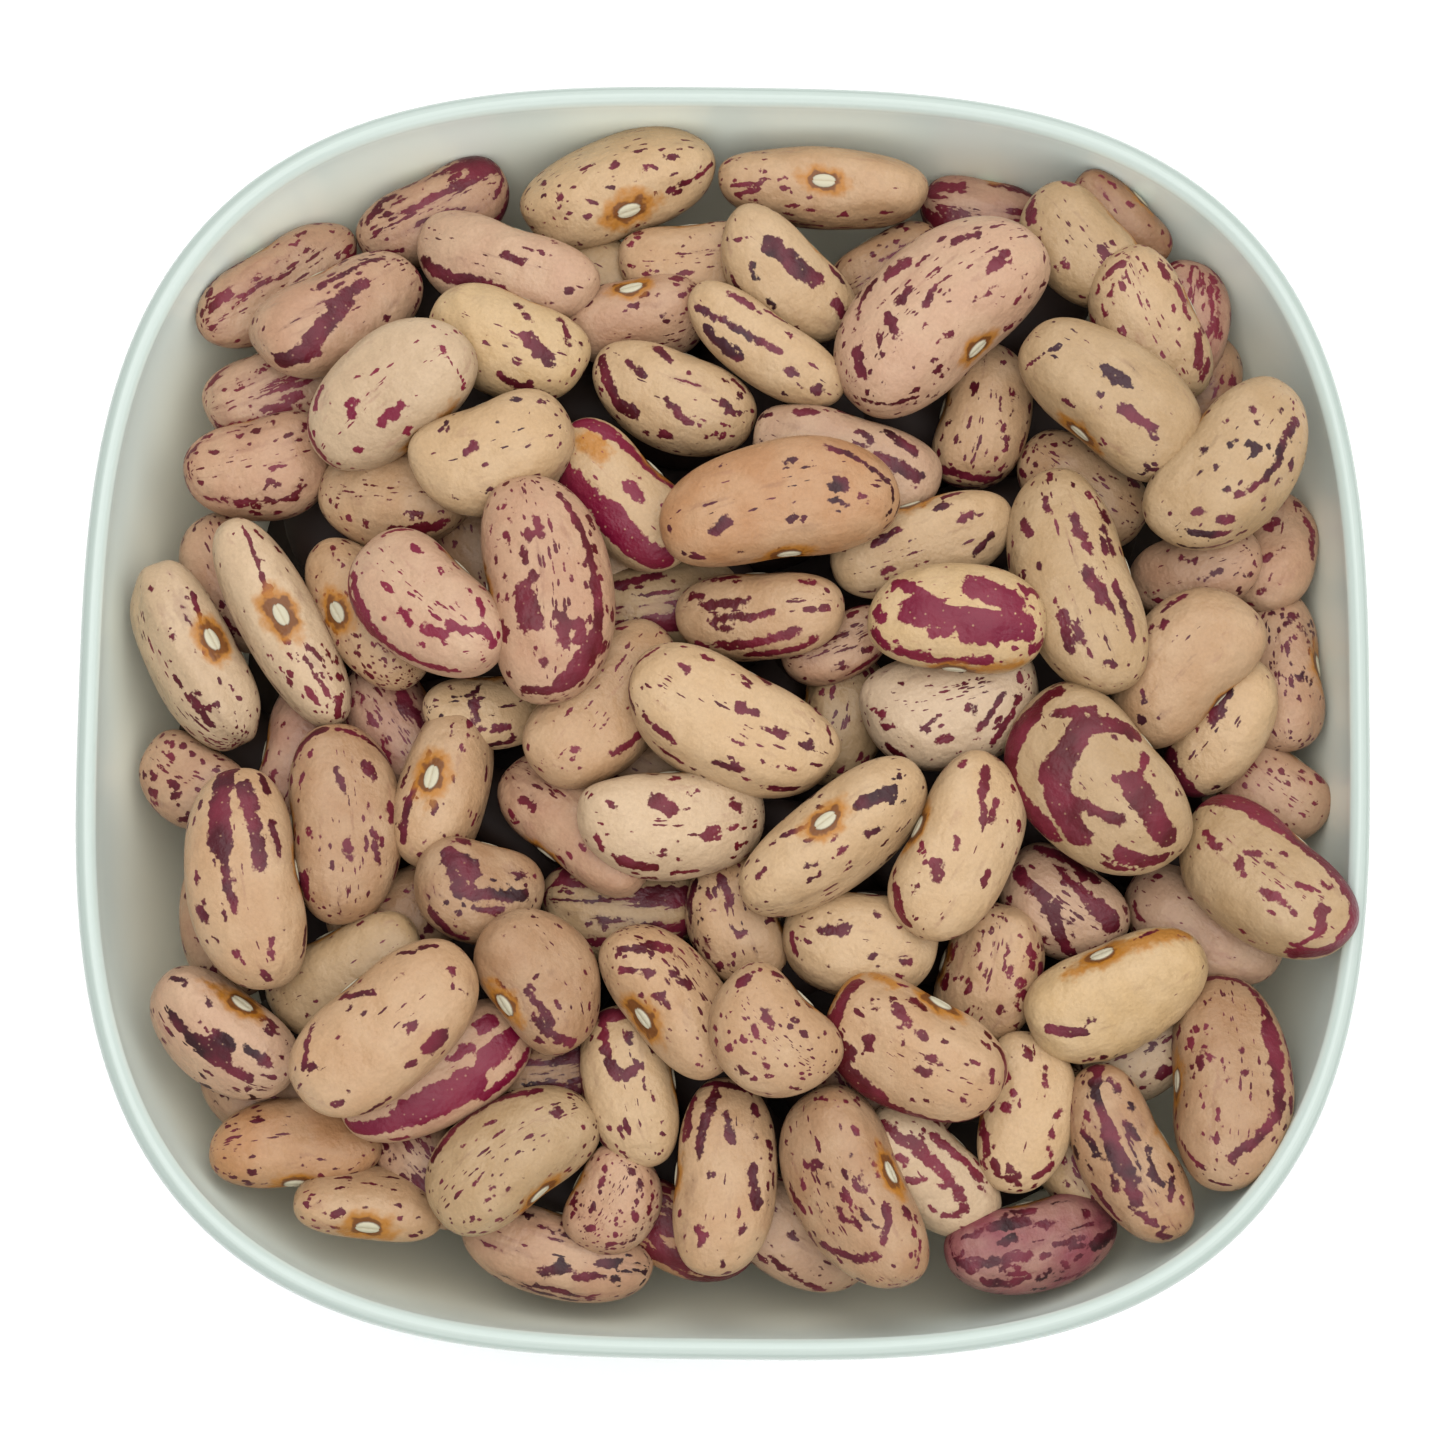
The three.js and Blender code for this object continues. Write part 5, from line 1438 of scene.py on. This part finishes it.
@dataclass(frozen=True)
class CoatPattern:
    """What the coat's finish reads on each vertex of a bean.

    Attributes:
        coat_tones: Darkest and lightest tone of the ground.
        ink_tones: Darkest and lightest tone of the ink.
        streak_length: Length of a streak of usual grain.
        streak_width: Width of such a streak.
        focal_fade: Level within which the streaks close over the line between the foci.
        shift: How far a bean's pattern is moved, so that no two are alike.
        halo_half: Half sizes of the stain round the hilum: along, across and up.
        halo_share: Smallest and largest share of them.
        crowd: How much the flecks crowd everywhere, to the dense end, and to a side drawn for each bean.
        streak_crowd: How much of the streaks stays everywhere, and how much crowds as the flecks do.
    """

    coat_tones: tuple[float, float] = (0.94, 1.05)
    ink_tones: tuple[float, float] = (0.85, 1.15)
    streak_length: float = 5.2
    streak_width: float = 1.5
    focal_fade: float = 0.2
    shift: float = 500
    halo_half: tuple[float, float, float] = (1.6, 1.3, 1.05)
    halo_share: tuple[float, float] = (0.9, 1.15)
    crowd: tuple[float, float, float] = (0.75, 0.6, 0.25)
    streak_crowd: tuple[float, float] = (0.55, 0.45)

    def rows(
        self, bean: Bean, form: BeanForm, sphere: np.ndarray, local: np.ndarray, draw: np.random.Generator
    ) -> dict[str, np.ndarray]:
        """Works out one bean's attributes.

        Args:
            bean: The bean.
            form: Its shape.
            sphere: Directions of its vertices.
            local: Its vertices in its own frame.
            draw: The seeded generator.

        Returns:
            The ground and ink colours, places along the outline and on the bean, the amounts of streaks
            and flecks and the millimetres inside bands and stains, and the place from the hilum.
        """
        depth, level = form.flow(sphere)
        wide, _ = form.flat_half()
        seed = draw.uniform(-self.shift, self.shift, 3)
        streak = self.streak_length * bean.grain
        along = wide * np.cos(level.imag) / streak
        side = wide * np.sin(level.imag) * np.tanh(level.real / self.focal_fade) / streak
        flow = np.stack([along, side, depth / (self.streak_width * bean.grain)], 1)
        tone = draw.uniform(*self.coat_tones)
        scar = form.surface(np.array([[0.0, 1.0, 0.0]]))[0]
        halo = np.array(self.halo_half) * draw.uniform(*self.halo_share)
        ink_tone = draw.uniform(*self.ink_tones)
        even, to_end, to_side = self.crowd
        crowd = even + to_end * bean.dense * sphere[:, 0] + to_side * sphere @ draw.normal(size=3)
        crowd = np.maximum(0, crowd)
        steady, crowded = self.streak_crowd
        bands, stains = (form.inside(marks, depth, level) for marks in (bean.strokes, bean.stains))
        marks = [bean.streaks * (steady + crowded * crowd), bean.flecks * crowd, bands, stains]
        return {
            "coat": self._tint(bean.coat.value, tone, len(sphere)),
            "ink": self._tint(bean.ink.value, ink_tone, len(sphere)),
            "flow": flow + seed,
            "spot": local + seed,
            "marks": np.stack(marks, 1),
            "eye": (local - scar) / halo,
        }

    def _tint(self, colour: str, tone: float, count: int) -> np.ndarray:
        """One linear colour, made lighter or darker, for each of a bean's vertices."""
        return np.tile(np.array(linear(colour)) * [tone, tone, tone, 1], (count, 1))


@dataclass(frozen=True)
class Hilums:
    """The scars where the seeds were held: small raised ovals on the hilum side of every bean.

    Attributes:
        half: Half length and half width.
        height: How far one stands out.
        sunk: How far its edge lies in the coat.
        groove_depth: Depth of the groove along it.
        groove_half: Half width of the groove, as a share of the scar's.
        groove_end: Share of the way out that the groove takes.
        rings: Rings of points on a scar.
        spokes: Points round it.
    """

    half: tuple[float, float] = (1.12, 0.66)
    height: float = 0.22
    sunk: float = 0.04
    groove_depth: float = 0.1
    groove_half: float = 0.12
    groove_end: float = 0.9
    rings: int = 4
    spokes: int = 16

    def build(self, scars: list[tuple[BeanForm, Place]]) -> bpy.types.Object:
        """Joins all the scars into a piece.

        Over rings of growing share r, each point takes the coat's own surface in the direction of an
        oval's edge times r, and rises by the height times the root of 1 - r^2.

        Args:
            scars: Each bean's shape, and its rotation and place.

        Returns:
            The piece.
        """
        share = np.linspace(0, 1, self.rings + 1)[1:, None]
        angle = np.linspace(0, 2 * math.pi, self.spokes, endpoint=False)
        along = np.concatenate([[0], (share * np.cos(angle)).ravel()])
        side = np.concatenate([[0], (share * np.sin(angle)).ravel()])
        radius = np.hypot(along, side)
        lift = self.height * np.sqrt(np.maximum(0, 1 - radius ** 2)) - self.sunk
        lift = lift - self.groove_depth * np.exp(-(side / self.groove_half) ** 2) * (radius < self.groove_end)
        points, across = [], []
        for form, (spin, middle) in scars:
            out_along = along * self.half[0] / form.half[0]
            out_side = side * self.half[1] / form.half[2]
            reach = np.stack([out_along, np.ones_like(along), out_side], 1)
            local = form.surface(reach / np.linalg.norm(reach, axis=1, keepdims=True))
            local[:, 1] += lift
            points.append(local @ spin.T + middle)
            across.append(np.stack([radius, np.abs(side), radius], 1))
        spoke = np.arange(self.spokes)
        fan = np.stack([np.zeros_like(spoke), 1 + (spoke + 1) % self.spokes, 1 + spoke], 1)
        grid = 1 + ring_quads(self.rings, self.spokes)
        faces = [copies(part, len(along), len(scars)) for part in (fan, grid)]
        shares = {"across": np.concatenate(across)}
        return make_piece("bean_hilums", np.concatenate(points), faces, HilumSkin().material(), shares)


@dataclass(frozen=True)
class BuriedBeans:
    """The plain beans under the ones that show.

    Attributes:
        pitch: From one to the next.
        rows: Rows to either side of the middle.
        reach: Plan radius that they keep within.
        jitter: How far each is moved off its grid.
        lengths: Their shortest and longest.
        widths: Their narrowest and widest.
        most_roll: Largest roll in degrees.
        core_top: Top of the core that they lie on.
        layer: Their layer's number.
        steps: Squares along each cube edge of a bean.
    """

    pitch: float = 8.6
    rows: int = 5
    reach: float = 38.0
    jitter: float = 1.6
    lengths: tuple[float, float] = (11, 15)
    widths: tuple[float, float] = (6.8, 8.4)
    most_roll: float = 40
    core_top: float = -15.0
    layer: int = -2
    steps: int = 7

    def build(self, hollow: Hollow, draw: np.random.Generator) -> bpy.types.Object:
        """Lays the beans on a jittered grid, each turned its own way.

        Args:
            hollow: The bowl's hollow.
            draw: The seeded generator.

        Returns:
            The piece.
        """
        line = np.arange(-self.rows, self.rows + 1) * self.pitch
        half = self.pitch / 2
        spots = np.array([(x + (half if row % 2 else 0), y) for row, y in enumerate(line) for x in line])
        spots = spots + draw.uniform(-self.jitter, self.jitter, spots.shape)
        spots = spots[hollow.plan_radius(*spots.T) < self.reach]
        beans = tuple(
            Bean(
                x, y, draw.uniform(*self.lengths), draw.uniform(*self.widths), draw.uniform(0, 360),
                draw.uniform(0, self.most_roll),
            )
            for x, y in spots
        )
        heap = Heap(hollow, core_top=self.core_top)
        [places] = heap.settle([(self.layer, beans)])
        sphere, quads = cube_sphere(self.steps)
        points = [
            BeanForm.drawn(bean, heap.thickness, draw).surface(sphere) @ spin.T + middle
            for bean, (spin, middle) in zip(beans, places)
        ]
        faces = copies(quads, len(sphere), len(beans))
        # The buried beans are coloured with painted shade.
        return make_piece("beans_buried", np.concatenate(points), [faces], PackedShade().material())


@dataclass(frozen=True)
class PackedCore:
    """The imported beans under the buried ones: a dome, closed by the wall's own section below.

    Attributes:
        top: Its top, from the rim.
        fall: How far it falls to the heap's edge, by the same power as the heap's own core.
        gap: From its side to the wall.
        side_rows: Steps down its side.
        lid_rows: Steps over its top.
        columns: Steps round it.
    """

    top: float = -14.0
    fall: float = 15
    gap: float = 0.3
    side_rows: int = 48
    lid_rows: int = 11
    columns: int = 96

    def build(self, heap: Heap) -> bpy.types.Object:
        """Turns the side and the lid on the bowl's plan.

        Args:
            heap: The heap that it lies under.

        Returns:
            The piece.
        """
        hollow = heap.hollow
        inner = hollow.rim_width / 2 - hollow.lip_thickness - self.gap
        wall = hollow.section(inner, hollow.depth - self.gap, 0, self.side_rows)
        side = wall[wall[:, 1] < self._height(wall[:, 0], heap)]
        out = side[0, 0] * np.linspace(0, 1, self.lid_rows + 1)[:-1]
        lid = np.stack([out, self._height(out, heap)], 1)
        points, faces = hollow.lathe(np.concatenate([side[::-1], lid[::-1]]), self.columns)
        # The core is coloured with painted shade.
        return make_piece("beans_packed", points, faces, PackedShade().material())

    def _height(self, radius: np.ndarray, heap: Heap) -> np.ndarray:
        """Height of the dome at each plan radius."""
        fall = self.fall * (radius / heap.reach) ** heap.core_flatness
        return self.top - fall + heap.hollow.rim_height


@dataclass
class BeanHeap:
    """The beans: those that show, in layers from the deepest up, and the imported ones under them.

    Attributes:
        heap: The rule that they settle by.
        pattern: What their coats carry.
        shape_seed: Seed of every bean's uneven traits.
        layers: Name of each layer's piece, its beans, and the squares along each cube edge of a bean.
    """

    heap: Heap
    pattern: CoatPattern = CoatPattern()
    shape_seed: int = 11
    layers: tuple[tuple[str, tuple[Bean, ...], int], ...] = (
        ("beans_deepest", DEEPEST_BEANS, 16),
        ("beans_low", LOW_BEANS, 20),
        ("beans_middle", MIDDLE_BEANS, 22),
        ("beans_top", TOP_BEANS, 29),
    )

    def build(self) -> list[bpy.types.Object]:
        """Builds every piece of the heap.

        Returns:
            The layers of beans, their hilums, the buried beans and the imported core.
        """
        coat = SeedCoat().material()
        placed = self.heap.settle([(number, beans) for number, (_, beans, _) in enumerate(self.layers)])
        draw = np.random.default_rng(self.shape_seed)
        pieces, scars = [], []
        for (name, beans, steps), places in zip(self.layers, placed):
            forms = [BeanForm.drawn(bean, self.heap.thickness, draw) for bean in beans]
            pieces.append(self._layer(name, beans, forms, places, steps, coat, draw))
            scars += list(zip(forms, places))
        hilums = Hilums().build(scars)
        buried = BuriedBeans().build(self.heap.hollow, draw)
        return [*pieces, hilums, buried, PackedCore().build(self.heap)]

    def _layer(
        self, name: str, beans: tuple[Bean, ...], forms: list[BeanForm], places: list[Place], steps: int,
        coat: bpy.types.Material, draw: np.random.Generator,
    ) -> bpy.types.Object:
        """Joins one layer's beans into a piece, with what the coat's pattern reads.

        Args:
            name: The piece's name.
            beans: The layer's beans.
            forms: Their shapes.
            places: Their rotations and places.
            steps: Squares along each cube edge of a bean.
            coat: The seed coat.
            draw: The seeded generator.

        Returns:
            The piece.
        """
        sphere, quads = cube_sphere(steps)
        points, rows = [], []
        for bean, form, (spin, middle) in zip(beans, forms, places):
            local = form.surface(sphere)
            points.append(local @ spin.T + middle)
            rows.append(self.pattern.rows(bean, form, sphere, local, draw))
        attributes = {key: np.concatenate([row[key] for row in rows]) for key in rows[0]}
        faces = copies(quads, len(sphere), len(beans))
        return make_piece(name, np.concatenate(points), [faces], coat, attributes)


@dataclass
class Studio:
    """Pale floor, soft light and the camera.

    Attributes:
        rim_height: Height that the lights and the camera look at.
        distance: From the rim's middle to the camera.
        tilt: Degrees that the camera leans to -Y.
        roll: Degrees that it is turned about its own axis.
        pixels_per_mm: Scale of the image at the rim.
        image: Width of the image in pixels.
        centre: Pixel that shows the rim's middle.
        sensor: Width of the camera's sensor.
        floor_half: Half width of the floor.
        sky: Colour of the even light from all round.
        sky_strength: Its strength.
        softboxes: Name, place in metres, width in metres and power in watts of each light.
    """

    rim_height: float
    distance: float = 409
    tilt: float = 10.2
    roll: float = -0.72
    pixels_per_mm: float = 12.943
    image: float = 1445
    centre: tuple[float, float] = (724.1, 707.9)
    sensor: float = 36
    floor_half: float = 1500.0
    sky: str = "#F4F6FA"
    sky_strength: float = 0.85
    softboxes: tuple[tuple[str, tuple[float, float, float], float, float], ...] = (
        ("top_softbox", (0.05, 0.05, 0.95), 0.9, 6.8),
        ("far_softbox", (0.0, 0.75, 0.75), 0.7, 2.8),
        ("near_softbox", (0.0, -0.75, 0.75), 0.7, 2.8),
        ("right_softbox", (0.75, 0.0, 0.75), 0.7, 2.2),
    )

    def build(self) -> None:
        """Makes the floor, the lights and the camera."""
        self._floor()
        for softbox in self.softboxes:
            self._light(*softbox)
        world = bpy.data.worlds.new("studio")
        world.use_nodes = True
        world.node_tree.nodes["Background"].inputs["Color"].default_value = linear(self.sky)
        world.node_tree.nodes["Background"].inputs["Strength"].default_value = self.sky_strength
        bpy.context.scene.world = world
        bpy.context.scene.view_settings.view_transform = "Standard"
        self._camera()

    def _floor(self) -> None:
        """A wide pale board that the bowl stands on."""
        half = self.floor_half
        corners = np.array([[-half, -half, 0], [half, -half, 0], [half, half, 0], [-half, half, 0]])
        floor = make_piece("floor", corners, [np.array([[0, 1, 2, 3]])], StudioFloor().material())

    def _light(self, name: str, place: tuple[float, float, float], size: float, power: float) -> None:
        """A square soft light that looks at the bowl."""
        data = bpy.data.lights.new(name, "AREA")
        data.size = size
        data.energy = power
        lamp = bpy.data.objects.new(name, data)
        lamp.matrix_world = self._facing(np.array(place), np.array([0, 0, self.rim_height * MM]))
        bpy.context.scene.collection.objects.link(lamp)

    def _facing(self, place: np.ndarray, target: np.ndarray) -> Matrix:
        """Matrix of an object at a place whose -Z looks at a target."""
        back = (place - target) / np.linalg.norm(place - target)
        right = np.cross([0, 1, 0.001], back)  # nearly +Y, a line that no light is on
        right = right / np.linalg.norm(right)
        return self._frame(right, np.cross(back, right), back, place)

    def _frame(self, right: np.ndarray, up: np.ndarray, back: np.ndarray, place: np.ndarray) -> Matrix:
        """Matrix with the given axes and place."""
        axes = np.eye(4)
        axes[:3] = np.stack([right, up, back, place], 1)
        return Matrix(axes.tolist())

    def _camera(self) -> None:
        """The camera: nearly overhead, leaning to -Y, with a small roll and shift."""
        tilt, roll = math.radians(self.tilt), math.radians(self.roll)
        back = np.array([0, -math.sin(tilt), math.cos(tilt)])
        level = np.array([1.0, 0, 0])
        above = np.cross(back, level)
        right = math.cos(roll) * level - math.sin(roll) * above
        up = math.sin(roll) * level + math.cos(roll) * above
        place = (np.array([0, 0, self.rim_height]) + self.distance * back) * MM
        data = bpy.data.cameras.new("camera")
        data.sensor_width = self.sensor
        data.lens = self.sensor * self.distance * self.pixels_per_mm / self.image
        data.shift_x = -(self.centre[0] - self.image / 2) / self.image
        data.shift_y = (self.centre[1] - self.image / 2) / self.image
        data.clip_start = 0.01
        camera = bpy.data.objects.new("camera", data)
        camera.matrix_world = self._frame(right, up, back, place)
        bpy.context.scene.collection.objects.link(camera)
        bpy.context.scene.camera = camera


def main() -> None:
    """Builds the studio, the bowl and the heap, attaches each piece to the root body, and hides the CAD parts
    that they stand for.
    """
    logging.basicConfig(level=logging.INFO, format="%(name)s: %(message)s")
    low, high = (np.array(corner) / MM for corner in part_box("bowl"))
    hollow = Hollow(rim_width=float(high[0] - low[0]), rim_height=float(high[2]))
    Studio(hollow.rim_height).build()
    bowl = Bowl(hollow).build()
    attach(bowl, "root")
    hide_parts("bowl")
    LOG.info("%s: %d faces", bowl.name, len(bowl.data.polygons))
    for piece in BeanHeap(Heap(hollow)).build():
        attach(piece, "root")
        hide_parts("beans")
        LOG.info("%s: %d faces", piece.name, len(piece.data.polygons))


if __name__ == "__main__":
    main()
